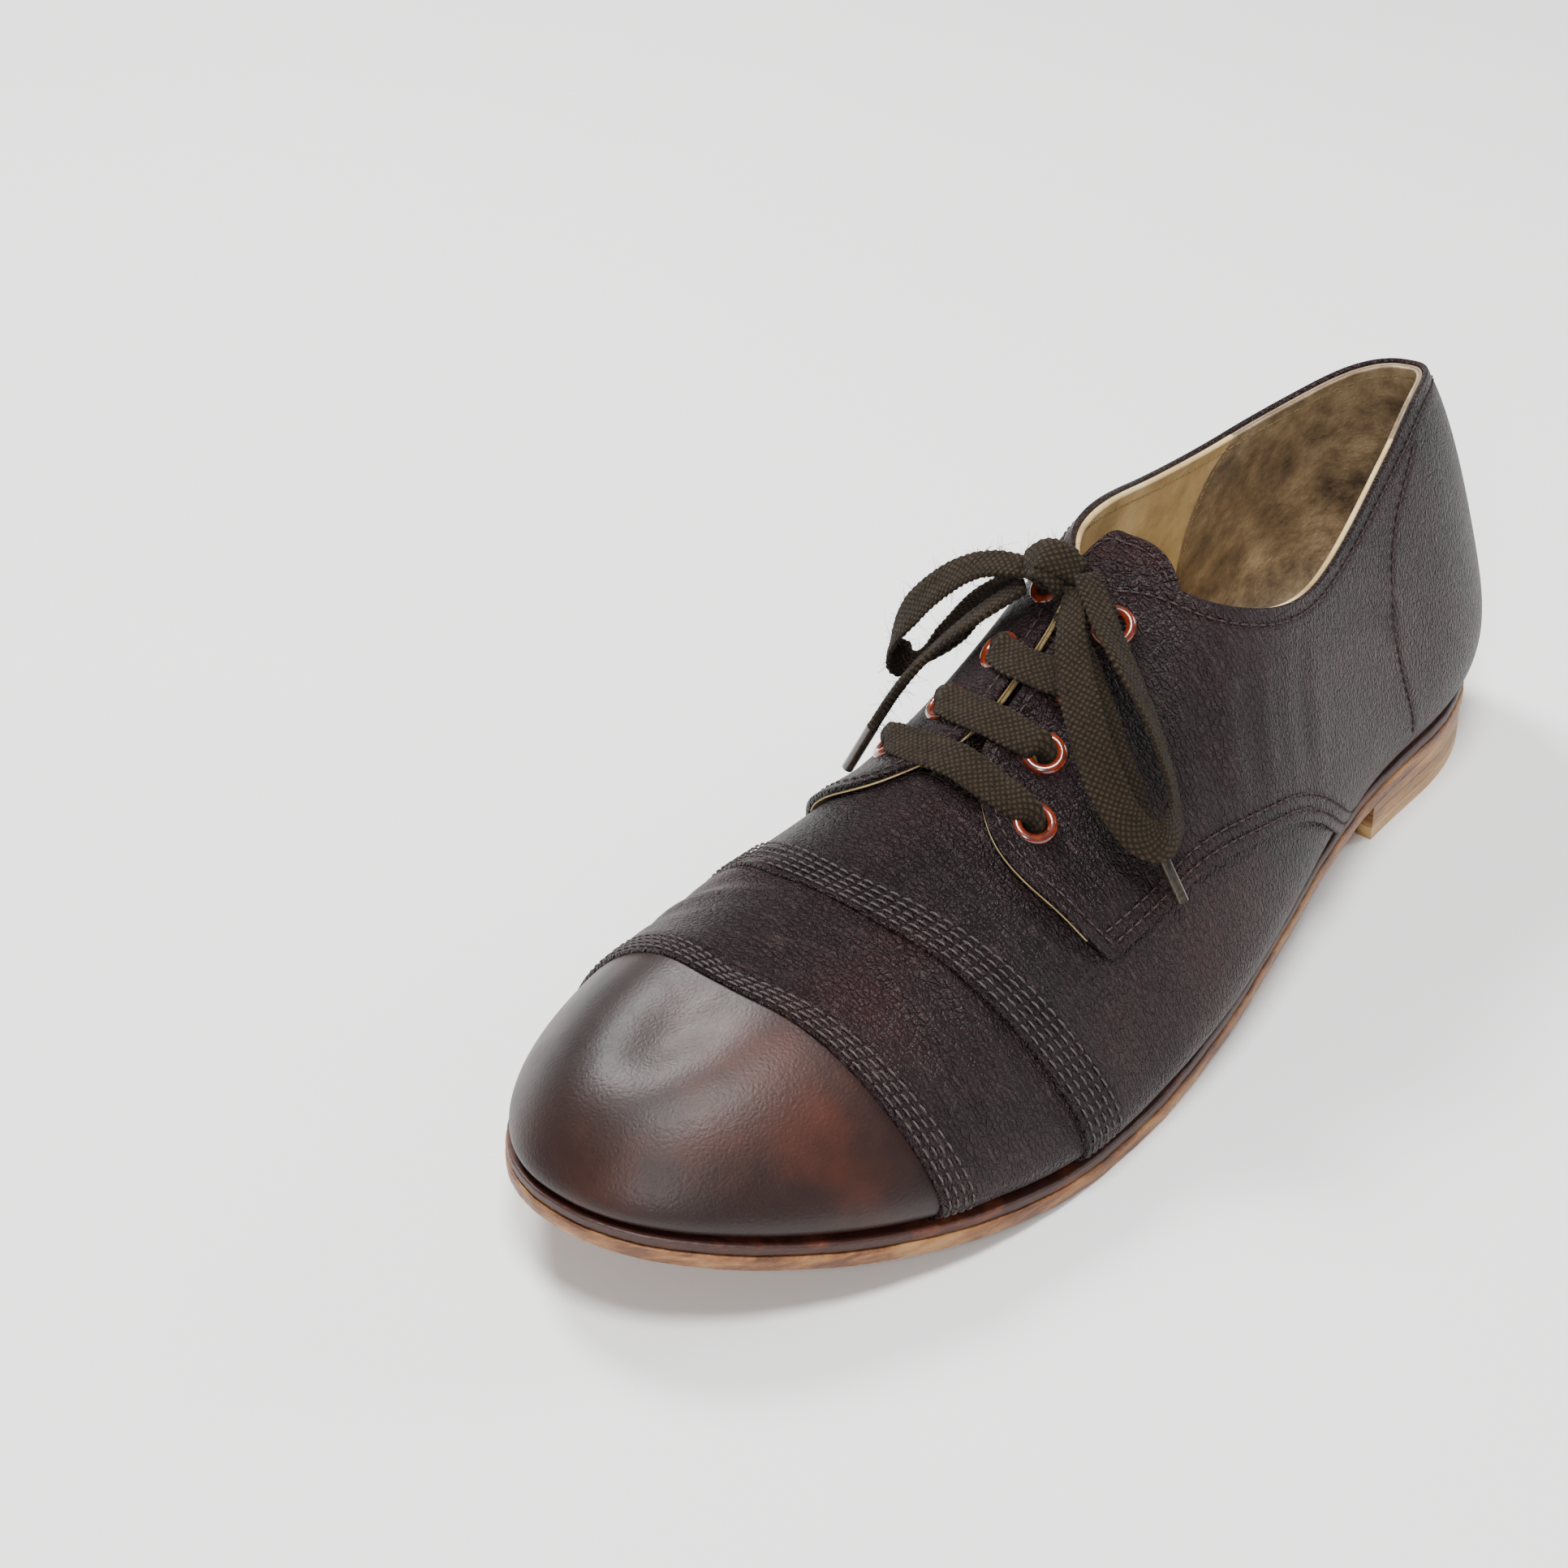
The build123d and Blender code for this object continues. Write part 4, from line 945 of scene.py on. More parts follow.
FIBRE_RADIUS = 0.055
FIBRE_LENGTH = (2.0, 0.62)         # shape and scale of the spread of fibre lengths
FIBRE_CURL = 0.55                  # how far a fibre bends aside, as a share of its length


def fuzz(name: str, laces: Sequence[Lace], per_mm: float, material: bpy.types.Material,
         seed: int = 5) -> bpy.types.Object:
    """Make the loose fibres that stand up from worn cotton laces.

    Args:
        name: the piece's name.
        laces: the laces that they stand on.
        per_mm: fibres for each millimetre of lace.
        material: their finish.
        seed: what the random places start from.

    Returns:
        All the fibres as one piece of thin threads.
    """
    rng = np.random.default_rng(seed)
    places, ways = [], []
    for number, lace in enumerate(laces):
        length = np.linalg.norm(np.diff(lace.path, axis=0), axis=1).sum()
        place, way = lace.surface(int(length * per_mm), seed + number)
        places.append(place)
        ways.append(way)
    root, way = np.concatenate(places), np.concatenate(ways)
    count, rings, sides = len(root), 5, 3
    length = rng.gamma(*FIBRE_LENGTH, count)[:, None]
    curl = normalised(rng.normal(size=(count, 3))) * length * FIBRE_CURL
    share = np.linspace(0, 1, rings)[None, :, None]
    spine = root[:, None] + way[:, None] * length[..., None] * share + curl[:, None] * share ** 2
    side = normalised(np.cross(way, normalised(rng.normal(size=(count, 3)))))
    other = np.cross(side, way)
    turn = np.linspace(0, 2 * np.pi, sides + 1)[:-1]
    ring = side[:, None, None] * np.cos(turn)[..., None] + other[:, None, None] * np.sin(turn)[..., None]
    radius = FIBRE_RADIUS * (1 - 0.6 * share)[..., None]
    mesh_places = spine[:, :, None] + ring * radius
    index = np.arange(count * rings * sides).reshape(count, rings, sides)
    wrapped = np.roll(index, -1, axis=2)
    quads = np.stack([index[:, :-1], wrapped[:, :-1], wrapped[:, 1:], index[:, 1:]], -1).reshape(-1, 4)
    faces = quads.tolist() + index[:, 0, ::-1].tolist() + index[:, -1].tolist()
    return new_object(name, mesh_places.reshape(-1, 3), faces, material)


# ---------------------------------------------------------------- finishes
def linear(hex_colour: str) -> tuple[float, float, float, float]:
    """Turn an sRGB hex colour to a linear one.

    Args:
        hex_colour: such as "3a2c22".

    Returns:
        Red, green, blue and alpha for a colour socket.
    """
    shares = [int(hex_colour[k:k + 2], 16) / 255 for k in (0, 2, 4)]
    return (*[s / 12.92 if s <= 0.04045 else ((s + 0.055) / 1.055) ** 2.4 for s in shares], 1.0)


def per_metre(size_mm: float) -> float:
    """Return the texture scale whose pattern repeats every size_mm."""
    return 1 / (size_mm * MM)


def add(tree: bpy.types.NodeTree, kind: str, inputs: Optional[dict] = None, **settings: object) -> bpy.types.Node:
    """Add a node with its settings and links.

    Args:
        tree: where it goes.
        kind: the node's type, without "ShaderNode".
        inputs: what each input takes: a value, or the (node, output name) it is linked from.
        settings: the node's own settings.

    Returns:
        The node.
    """
    node = tree.nodes.new("ShaderNode" + kind)
    for name, value in settings.items():
        setattr(node, name, value)
    for name, value in (inputs or {}).items():
        if isinstance(value, tuple) and isinstance(value[0], bpy.types.Node):
            tree.links.new(value[0].outputs[value[1]], node.inputs[name])
        else:
            node.inputs[name].default_value = value
    return node


def ramp(tree: bpy.types.NodeTree, source: tuple, stops: Sequence[tuple[float, str]]) -> tuple:
    """Colour a value by a ramp of sRGB hex colours and return its output."""
    node = add(tree, "ValToRGB", {"Fac": source})
    elements = node.color_ramp.elements
    while len(elements) < len(stops):
        elements.new(0.5)
    for element, (at, colour) in zip(elements, stops):
        element.position = at
        element.color = linear(colour)
    return node, "Color"


class Finish:
    """A finish that can be given to a piece; each kind makes its own node tree."""
    name = "finish"

    def nodes(self, tree: bpy.types.NodeTree, where: tuple) -> dict:
        """Add the finish's nodes and return what the surface shader takes."""
        raise NotImplementedError

    def material(self) -> bpy.types.Material:
        """Return the finish as a material, made once."""
        if self.name in bpy.data.materials:
            return bpy.data.materials[self.name]
        made = bpy.data.materials.new(self.name)
        made.use_nodes = True
        tree = made.node_tree
        tree.nodes.clear()
        where = (add(tree, "TexCoord"), "Object")
        shader = add(tree, "BsdfPrincipled", self.nodes(tree, where))
        add(tree, "OutputMaterial", {"Surface": (shader, "BSDF")})
        return made


@dataclass(frozen=True)
class PebbledCalf(Finish):
    """Aniline-dyed calf, tumbled so that its grain stands in soft pebbles.

    The colour is darkened in the grooves between the pebbles as painted shade, pale streaks stand for a painted
    highlight on the grain's ridges and for creases worn pale, and the wax polish gives a broad, low sheen.

    Attributes:
        name: the finish's name.
        deep, main, light: the dye's colours.
        dry_and_highlight: the colour of the pale streaks, creases worn pale and a painted highlight on the grain's
            ridges.
        pebble, pore: width of the pebbles and of the grain in them, in millimetres.
        relief: depth of the grooves, in millimetres.
        roughness: from polished to dull.
        patch: size of the clouds in the dye, in millimetres.
    """
    name: str = "pebbled_calf"
    deep: str = "120b0c"
    main: str = "241417"
    light: str = "341d1d"
    dry_and_highlight: str = "5d4a48"
    pebble: float = 1.7
    pore: float = 0.4
    relief: float = 0.4
    roughness: tuple[float, float] = (0.38, 0.5)
    patch: float = 38.0

    def nodes(self, tree: bpy.types.NodeTree, where: tuple) -> dict:
        """Add the grain, its dye, the painted shade in its grooves, its pale streaks of wear and painted highlight, and
        its polish.
        """
        sway = add(tree, "TexNoise", {"Vector": where, "Scale": per_metre(6), "Detail": 3.0})
        bent = add(tree, "MixRGB", {"Fac": 0.0008, "Color1": where, "Color2": (sway, "Color")}, blend_type="ADD")
        drawn = add(tree, "Mapping", {"Vector": (bent, "Color"), "Scale": (1.7, 1, 0.8)})
        cells = add(tree, "TexVoronoi", {"Vector": (drawn, "Vector"), "Scale": per_metre(self.pebble),
                                         "Randomness": 0.95}, feature="DISTANCE_TO_EDGE")
        dome = add(tree, "MapRange", {"Value": (cells, "Distance"), "From Max": 0.22}, interpolation_type="SMOOTHSTEP")
        fine = add(tree, "TexVoronoi", {"Vector": (bent, "Color"), "Scale": per_metre(self.pore)})
        tone = add(tree, "TexNoise", {"Vector": where, "Scale": per_metre(self.patch), "Detail": 5.0, "Roughness": 0.6})
        colour = ramp(tree, (tone, "Fac"), [(0.28, self.deep), (0.5, self.main), (0.72, self.light)])
        # painted shade: the colour is multiplied down to 0.55 in the grooves between the pebbles
        dark = add(tree, "MapRange", {"Value": (dome, "Result"), "To Min": 0.55, "To Max": 1.0})
        dyed = add(tree, "MixRGB", {"Fac": 1.0, "Color1": colour, "Color2": (dark, "Result")}, blend_type="MULTIPLY")
        # pale streaks: painted highlight standing for light on the grain's ridges, and also creases worn pale
        long = add(tree, "Mapping", {"Vector": (bent, "Color"), "Scale": (2.6, 0.7, 0.5)})
        streak = add(tree, "TexNoise", {"Vector": (long, "Vector"), "Scale": per_metre(3.2), "Detail": 6.0,
                                        "Roughness": 0.7})
        rubbed = add(tree, "MapRange", {"Value": (streak, "Fac"), "From Min": 0.56, "From Max": 0.78, "To Max": 0.5})
        worn = add(tree, "MixRGB", {"Fac": (rubbed, "Result"), "Color1": (dyed, "Color"), "Color2": linear(self.dry_and_highlight)})
        height = add(tree, "Math", {0: (dome, "Result"), 1: (fine, "Distance")}, operation="ADD")
        bump = add(tree, "Bump", {"Height": (height, "Value"), "Distance": self.relief * MM, "Strength": 1.0})
        rough = add(tree, "MapRange", {"Value": (tone, "Fac"), "To Min": self.roughness[1],
                                       "To Max": self.roughness[0]})
        return {"Base Color": (worn, "Color"), "Roughness": (rough, "Result"), "Normal": (bump, "Normal"),
                "Specular IOR Level": 0.26, "IOR": 1.45}


@dataclass(frozen=True)
class BurnishedCalf(Finish):
    """The same calf plated smooth and burnished over the toe, redder where the dye is rubbed thin."""
    name: str = "burnished_calf"
    deep: str = "150b0b"
    main: str = "26130f"
    rubbed: str = "452117"
    relief: float = 0.09

    def nodes(self, tree: bpy.types.NodeTree, where: tuple) -> dict:
        """Add the burnish's clouds, faint grain and soft gloss."""
        cloud = add(tree, "TexNoise", {"Vector": where, "Scale": per_metre(30), "Detail": 6.0, "Roughness": 0.55})
        colour = ramp(tree, (cloud, "Fac"), [(0.30, self.deep), (0.52, self.main), (0.74, self.rubbed)])
        grain = add(tree, "TexVoronoi", {"Vector": where, "Scale": per_metre(1.1)}, feature="DISTANCE_TO_EDGE")
        pores = add(tree, "TexNoise", {"Vector": where, "Scale": per_metre(0.5), "Detail": 4.0})
        height = add(tree, "Math", {0: (grain, "Distance"), 1: (pores, "Fac")}, operation="ADD")
        bump = add(tree, "Bump", {"Height": (height, "Value"), "Distance": self.relief * MM, "Strength": 0.6})
        scuff = add(tree, "TexNoise", {"Vector": where, "Scale": per_metre(9), "Detail": 8.0, "Roughness": 0.7})
        rough = add(tree, "MapRange", {"Value": (scuff, "Fac"), "To Min": 0.34, "To Max": 0.56})
        return {"Base Color": colour, "Roughness": (rough, "Result"), "Normal": (bump, "Normal"),
                "Specular IOR Level": 0.42, "IOR": 1.45}


@dataclass(frozen=True)
class Hide(Finish):
    """Plain or suede hide that shows blotches, a fine nap and dirt from wear.

    Attributes:
        name: the finish's name.
        tones: dark, middle and light colours of its blotches.
        patch: size of the blotches, in millimetres.
        nap: size of the surface texture, in millimetres.
        relief: depth of that texture, in millimetres.
        roughness: from smooth to matt.
        sheen: how much light its nap catches.
    """
    name: str = "hide"
    tones: tuple[str, str, str] = ("8a6f45", "bfa678", "d9c79f")
    patch: float = 14.0
    nap: float = 0.5
    relief: float = 0.05
    roughness: float = 0.75
    sheen: float = 0.1

    def nodes(self, tree: bpy.types.NodeTree, where: tuple) -> dict:
        """Add the blotches and the nap."""
        blotch = add(tree, "TexNoise", {"Vector": where, "Scale": per_metre(self.patch), "Detail": 7.0,
                                        "Roughness": 0.65})
        dark, middle, light = self.tones
        colour = ramp(tree, (blotch, "Fac"), [(0.3, dark), (0.5, middle), (0.7, light)])
        nap = add(tree, "TexNoise", {"Vector": where, "Scale": per_metre(self.nap), "Detail": 5.0})
        bump = add(tree, "Bump", {"Height": (nap, "Fac"), "Distance": self.relief * MM * 3, "Strength": 0.8})
        return {"Base Color": colour, "Roughness": self.roughness, "Normal": (bump, "Normal"),
                "Sheen Weight": self.sheen, "Sheen Roughness": 0.5}


@dataclass(frozen=True)
class SoleEdge(Finish):
    """Edge of a vegetable-tanned sole, inked and waxed, then worn back to bare leather in streaks.

    Attributes:
        name: the finish's name.
        ink: the colour where the ink still holds.
        half: the colour where it is wearing through.
        bare: the colour where it is rubbed off.
        worn: how much is rubbed off, 0..1.
    """
    name: str = "sole_edge"
    ink: str = "4a2416"
    half: str = "7a4426"
    bare: str = "a97c4c"
    worn: float = 0.5

    def nodes(self, tree: bpy.types.NodeTree, where: tuple) -> dict:
        """Add the layers pressed in the edge and the worn streaks."""
        squeezed = add(tree, "Mapping", {"Vector": where, "Scale": (1, 1, 5)})
        streak = add(tree, "TexNoise", {"Vector": (squeezed, "Vector"), "Scale": per_metre(16), "Detail": 8.0,
                                        "Roughness": 0.68})
        colour = ramp(tree, (streak, "Fac"), [(0.62 - 0.3 * self.worn, self.ink), (0.70 - 0.3 * self.worn, self.half),
                                              (0.82 - 0.3 * self.worn, self.bare)])
        fibre = add(tree, "TexNoise", {"Vector": (squeezed, "Vector"), "Scale": per_metre(1.4), "Detail": 6.0})
        dirt = add(tree, "MapRange", {"Value": (fibre, "Fac"), "To Min": 0.6, "To Max": 1.15})
        dyed = add(tree, "MixRGB", {"Fac": 1.0, "Color1": colour, "Color2": (dirt, "Result")}, blend_type="MULTIPLY")
        bump = add(tree, "Bump", {"Height": (fibre, "Fac"), "Distance": 0.25 * MM, "Strength": 0.7})
        rough = add(tree, "MapRange", {"Value": (streak, "Fac"), "To Min": 0.35, "To Max": 0.7})
        return {"Base Color": (dyed, "Color"), "Roughness": (rough, "Result"), "Normal": (bump, "Normal")}


@dataclass(frozen=True)
class Enamel(Finish):
    """Baked enamel on stamped brass eyelets: orange-brown, glassy, a little darker where it is thick."""
    name: str = "baked_enamel"
    thick: str = "4d170a"
    thin: str = "7d2c13"

    def nodes(self, tree: bpy.types.NodeTree, where: tuple) -> dict:
        """Add the enamel's depth and its glassy coat."""
        pool = add(tree, "TexNoise", {"Vector": where, "Scale": per_metre(3), "Detail": 2.0})
        colour = ramp(tree, (pool, "Fac"), [(0.35, self.thick), (0.65, self.thin)])
        scratch = add(tree, "TexNoise", {"Vector": where, "Scale": per_metre(0.6), "Detail": 3.0})
        rough = add(tree, "MapRange", {"Value": (scratch, "Fac"), "To Min": 0.12, "To Max": 0.3})
        return {"Base Color": colour, "Roughness": (rough, "Result"), "Coat Weight": 1.0, "Coat Roughness": 0.06}


@dataclass(frozen=True)
class Metal(Finish):
    """Drawn or rolled metal with patchy tarnish."""
    name: str = "drawn_brass"
    dull: str = "7d6433"
    bright: str = "b8975a"

    def nodes(self, tree: bpy.types.NodeTree, where: tuple) -> dict:
        """Add the tarnish."""
        tarnish = add(tree, "TexNoise", {"Vector": where, "Scale": per_metre(1.2), "Detail": 5.0})
        colour = ramp(tree, (tarnish, "Fac"), [(0.35, self.dull), (0.7, self.bright)])
        rough = add(tree, "MapRange", {"Value": (tarnish, "Fac"), "To Min": 0.45, "To Max": 0.22})
        return {"Base Color": colour, "Roughness": (rough, "Result"), "Metallic": 1.0}


WAVE_SCALE = 0.44          # turns a spacing across diagonal bands into the wave's own scale


@dataclass(frozen=True)
class Yarn(Finish):
    """Spun yarn, matt. Its colour follows the braid's relief: painted shade darkens the gaps and a painted highlight
    lightens the raised plies, speckled by the fibres. The laces are braided, the thread is twisted.

    Attributes:
        name: the finish's name.
        dark, light: the painted shade in the braid's gaps and the painted highlight on its raised plies.
        twist: distance between neighbouring yarns of the braid, in millimetres.
        lengthwise: whether the piece has its length and width as UV.
    """
    name: str = "braided_cotton"
    dark: str = "0d0906"
    light: str = "3d3123"
    twist: float = 0.95
    lengthwise: bool = True

    def nodes(self, tree: bpy.types.NodeTree, where: tuple) -> dict:
        """Add the ply's twist and colour it by that relief, as painted shade and highlight, speckled by the fibres."""
        if self.lengthwise:
            where = (add(tree, "UVMap", uv_map="yarn"), "UV")
        mirrored = add(tree, "Mapping", {"Vector": where, "Scale": (-1, 1, 1)})
        plies = [add(tree, "TexWave", {"Vector": way, "Scale": per_metre(self.twist) * WAVE_SCALE, "Distortion": 1.2,
                                       "Detail": 2.0}, bands_direction="DIAGONAL")
                 for way in (where, (mirrored, "Vector"))]
        top = add(tree, "Math", {0: (plies[0], "Fac"), 1: (plies[1], "Fac")}, operation="MULTIPLY")
        soft = add(tree, "MapRange", {"Value": (top, "Value"), "From Max": 0.7, "To Min": 0.25})
        fibre = add(tree, "TexNoise", {"Vector": where, "Scale": per_metre(0.22), "Detail": 4.0})
        mixed = add(tree, "Math", {0: (soft, "Result"), 1: (fibre, "Fac")}, operation="MULTIPLY")
        # painted shade and highlight: the braid's relief sets the colour, dark in its gaps and light on its raised
        # plies
        colour = ramp(tree, (mixed, "Value"), [(0.05, self.dark), (0.55, self.light)])
        bump = add(tree, "Bump", {"Height": (mixed, "Value"), "Distance": 0.4 * MM, "Strength": 1.0})
        return {"Base Color": colour, "Roughness": 0.92, "Normal": (bump, "Normal"), "Specular IOR Level": 0.12,
                "Sheen Weight": 0.03, "Sheen Roughness": 0.6}


@dataclass(frozen=True)
class ClearFilm(Finish):
    """Acetate film rolled tight over the lace's end: glossy, the dark cotton showing through it."""
    name: str = "rolled_acetate"
    dark: str = "1d1711"
    light: str = "3a2f24"

    def nodes(self, tree: bpy.types.NodeTree, where: tuple) -> dict:
        """Add the yarn seen through the film."""
        yarn = add(tree, "TexNoise", {"Vector": where, "Scale": per_metre(0.7), "Detail": 4.0})
        colour = ramp(tree, (yarn, "Fac"), [(0.35, self.dark), (0.65, self.light)])
        bump = add(tree, "Bump", {"Height": (yarn, "Fac"), "Distance": 0.05 * MM, "Strength": 0.5})
        return {"Base Color": colour, "Roughness": 0.3, "Normal": (bump, "Normal"), "Coat Weight": 0.7,
                "Coat Roughness": 0.15}


CALF = PebbledCalf()
CAP = BurnishedCalf()
LINING = Hide("lining_kid", ("8f7245", "c0a470", "dcc795"), 16, 0.4, 0.03, 0.6, 0.05)
SUEDE = Hide("heel_suede", ("43372a", "86735a", "b8a586"), 11, 1.1, 0.16, 0.95, 0.04)
SOCK = Hide("sock_calf", ("c2a06b", "dcc290", "ecd9ab"), 22, 0.35, 0.02, 0.5, 0.05)
BOARD = Hide("insole_board", ("7b5c38", "a5814f", "b8965f"), 10, 0.6, 0.05, 0.85, 0.0)
CORK = Hide("pressed_cork", ("5a3c22", "8a623b", "a97f52"), 2.5, 0.8, 0.15, 0.9, 0.0)
BACKER = Hide("backer_twill", ("b9ae98", "cfc6b2", "ddd6c6"), 8, 0.5, 0.06, 0.9, 0.1)
STIFFENER = Hide("fibre_stiffener", ("6d5a44", "857058", "9a866c"), 6, 0.5, 0.05, 0.85, 0.0)
MIDSOLE_EDGE = SoleEdge("midsole_edge", "36170e", "562817", "7a4527", 0.3)
OUTSOLE_EDGE = SoleEdge("outsole_edge", "5f3820", "85552f", "a57a4a", 0.62)
LIFT_EDGE = SoleEdge("stacked_lifts", "7d5631", "966c41", "b08858", 0.6)
TOP_PIECE = SoleEdge("top_piece_leather", "a07a4c", "b48c5b", "c6a170", 0.7)
ENAMEL = Enamel()
BRASS = Metal()
STEEL = Metal("rolled_steel", "6d7073", "a5a8aa")
COTTON = Yarn()
FUZZ = Yarn("loose_fibre", "1c150e", "453829", 0.5, False)
THREAD = Yarn("waxed_thread", "3a3434", "6f6765", 0.5, False)
DARK_THREAD = Yarn("aubergine_thread", "2c2122", "655452", 0.5, False)
PALE_THREAD = Yarn("tan_thread", "8a7350", "c4ab7c", 0.5, False)
FILM = ClearFilm()
FLOOR_PAINT = Hide("floor_paint", ("f6f6f5", "f8f8f7", "fafaf9"), 400, 1.0, 0.0, 0.8, 0.0)


# ---------------------------------------------------------------- the shoe
def dress(piece: bpy.types.Object, body: str, slot: str, *nodes: str) -> bpy.types.Object:
    """Ride a piece on a body and hide the CAD nodes it stands for."""
    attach(piece, body)
    if nodes:
        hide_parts(*nodes)
    log.info("made %s", piece.name)
    return piece


@dataclass
class Upper:
    """Outer leather, linings, tongue and the thread that holds them.

    Attributes:
        lap: how high a panel stands where it laps over the one before it.
        curl: how far the free front edge of a quarter lifts off the vamp.
        curl_reach: how far from that edge it starts to lift.
        under: how far a panel runs on under the one that laps over it, as a share of run.
        first_row: how far behind a seam its first row of stitches is, as a share of run.
        rows_apart: distance between the rows of a stitched band, as a share of run.
        topline_inset: how far below the topline its stitches are, in millimetres.
        strip_insets: how far inside the facing its pale strip starts and ends.
        strip_thick, strip_gap: the strip's thickness and its distance under the quarter.
        creases, quarter_creases: the folds worn into the vamp and the quarters.
    """
    lap: float = 0.75
    curl: float = 1.0
    curl_reach: float = 11.0
    under: float = 0.0042
    first_row: float = 0.0036
    rows_apart: float = 0.00483
    topline_inset: float = 2.6
    strip_insets: tuple[float, float] = (0.1, 5.0)
    strip_thick: float = 0.4
    strip_gap: float = 0.02
    creases: Sequence[Crease] = (
        Crease(((0.676, 0.30), (0.690, 0.50), (0.700, 0.72), (0.712, 0.93)), 1, 0.75, 2.1),
        Crease(((0.690, 0.22), (0.705, 0.42), (0.724, 0.66), (0.738, 0.88)), 1, 0.55, 1.8),
        Crease(((0.662, 0.36), (0.668, 0.52), (0.684, 0.70), (0.690, 0.90)), 1, 0.45, 1.5),
        Crease(((0.702, 0.12), (0.712, 0.28), (0.722, 0.44)), 1, 0.40, 1.6),
        Crease(((0.720, 0.46), (0.741, 0.64), (0.765, 0.84), (0.776, 1.04)), 1, 0.35, 1.6),
        Crease(((0.676, 0.30), (0.688, 0.50), (0.700, 0.75), (0.706, 0.95)), -1, 0.60, 2.0),
        Crease(((0.692, 0.25), (0.708, 0.46), (0.728, 0.68)), -1, 0.45, 1.7),
        Crease(((0.655, 0.34), (0.664, 0.52), (0.676, 0.74)), -1, 0.40, 1.6))
    quarter_creases: Sequence[Crease] = (
        Crease(((0.500, 0.34), (0.492, 0.48), (0.476, 0.62)), 1, 0.40, 2.4),
        Crease(((0.470, 0.27), (0.462, 0.42), (0.448, 0.52)), 1, 0.35, 2.4),
        Crease(((0.430, 0.16), (0.420, 0.30), (0.404, 0.42)), 1, 0.35, 2.8),
        Crease(((0.300, 0.20), (0.330, 0.30), (0.366, 0.36)), 1, 0.30, 2.6),
        Crease(((0.470, 0.30), (0.455, 0.46), (0.436, 0.58)), -1, 0.40, 2.6),
        Crease(((0.360, 0.20), (0.330, 0.30), (0.300, 0.34)), -1, 0.30, 2.8))

    def lap_lift(self, share: Array) -> Array:
        """Return the extra height of a panel near its lapped front edge, from its share b."""
        return self.lap * smooth((share - 0.55) / 0.4)

    def band_rows(self, line: Line, rows: int) -> list[Array]:
        """Return the rows of a stitched band behind an across-line."""
        return [across_row(line, self.first_row + k * self.rows_apart) for k in range(rows)]

    def channel(self, rows: Sequence[Array], out: float) -> list[Array]:
        """Return the places that rows of stitches pull in."""
        return [LAST.place(*row.T, out) for row in rows]

    def build_forepart(self) -> None:
        """Make the toe cap, the middle vamp, the vamp and the two stitched bands."""
        cap_rows = self.band_rows(CAP_SEAM, 4)
        vamp_rows = self.band_rows(VAMP_SEAM, 5)
        cap = Panel("toe_cap_leather", toe_chart(lambda across: CAP_SEAM(across) - self.under),
                    LAYERS.vamp, LAYERS.leather, 130, 240)
        dress(cap.build(CAP.material()), "shoe", "upper_leather", "toe_cap")
        middle = Panel("middle_vamp_leather",
                       between_lines(lambda across: VAMP_SEAM(across) - self.under,
                                     lambda across: CAP_SEAM(across) + 0.0005),
                       LAYERS.vamp, LAYERS.leather, 110, 420, lift=lambda a, b, _: self.lap_lift(b),
                       creases=self.creases, channels=self.channel(cap_rows, LAYERS.vamp))
        dress(middle.build(CALF.material()), "shoe", "upper_leather", "middle_vamp")
        vamp = Panel("vamp_leather", between_lines(VAMP_REAR, lambda across: VAMP_SEAM(across) + 0.0005),
                     LAYERS.vamp, LAYERS.leather, 150, 420,
                     lift=lambda a, b, _: self.lap * smooth((b - 0.72) / 0.25),
                     creases=self.creases[:4] + self.creases[5:], channels=self.channel(vamp_rows, LAYERS.vamp))
        dress(vamp.build(CALF.material()), "shoe", "upper_leather", "vamp")
        over = LAYERS.vamp + self.lap
        seams = [Seam(row, over - 0.08 * k) for k, row in enumerate(cap_rows)]
        seams += [Seam(row, over - 0.05 * k) for k, row in enumerate(vamp_rows)]
        dress(thread("forepart_stitching", seams, THREAD.material()), "shoe", "upper_leather")

    def curl_of(self, side: int) -> Callable[[Array, Array, Array], Array]:
        """Return the lift of a quarter near its free front edge."""
        free = side_row(QUARTER_FRONT, side, 0, 0.12, 0.88)
        edge = LAST.place(*free.T, LAYERS.quarter)

        def lift(a: Array, b: Array, places: Array) -> Array:
            gap = nearest(places.reshape(-1, 3), edge).reshape(a.shape)
            return self.curl * smooth(1 - gap / self.curl_reach)
        return lift

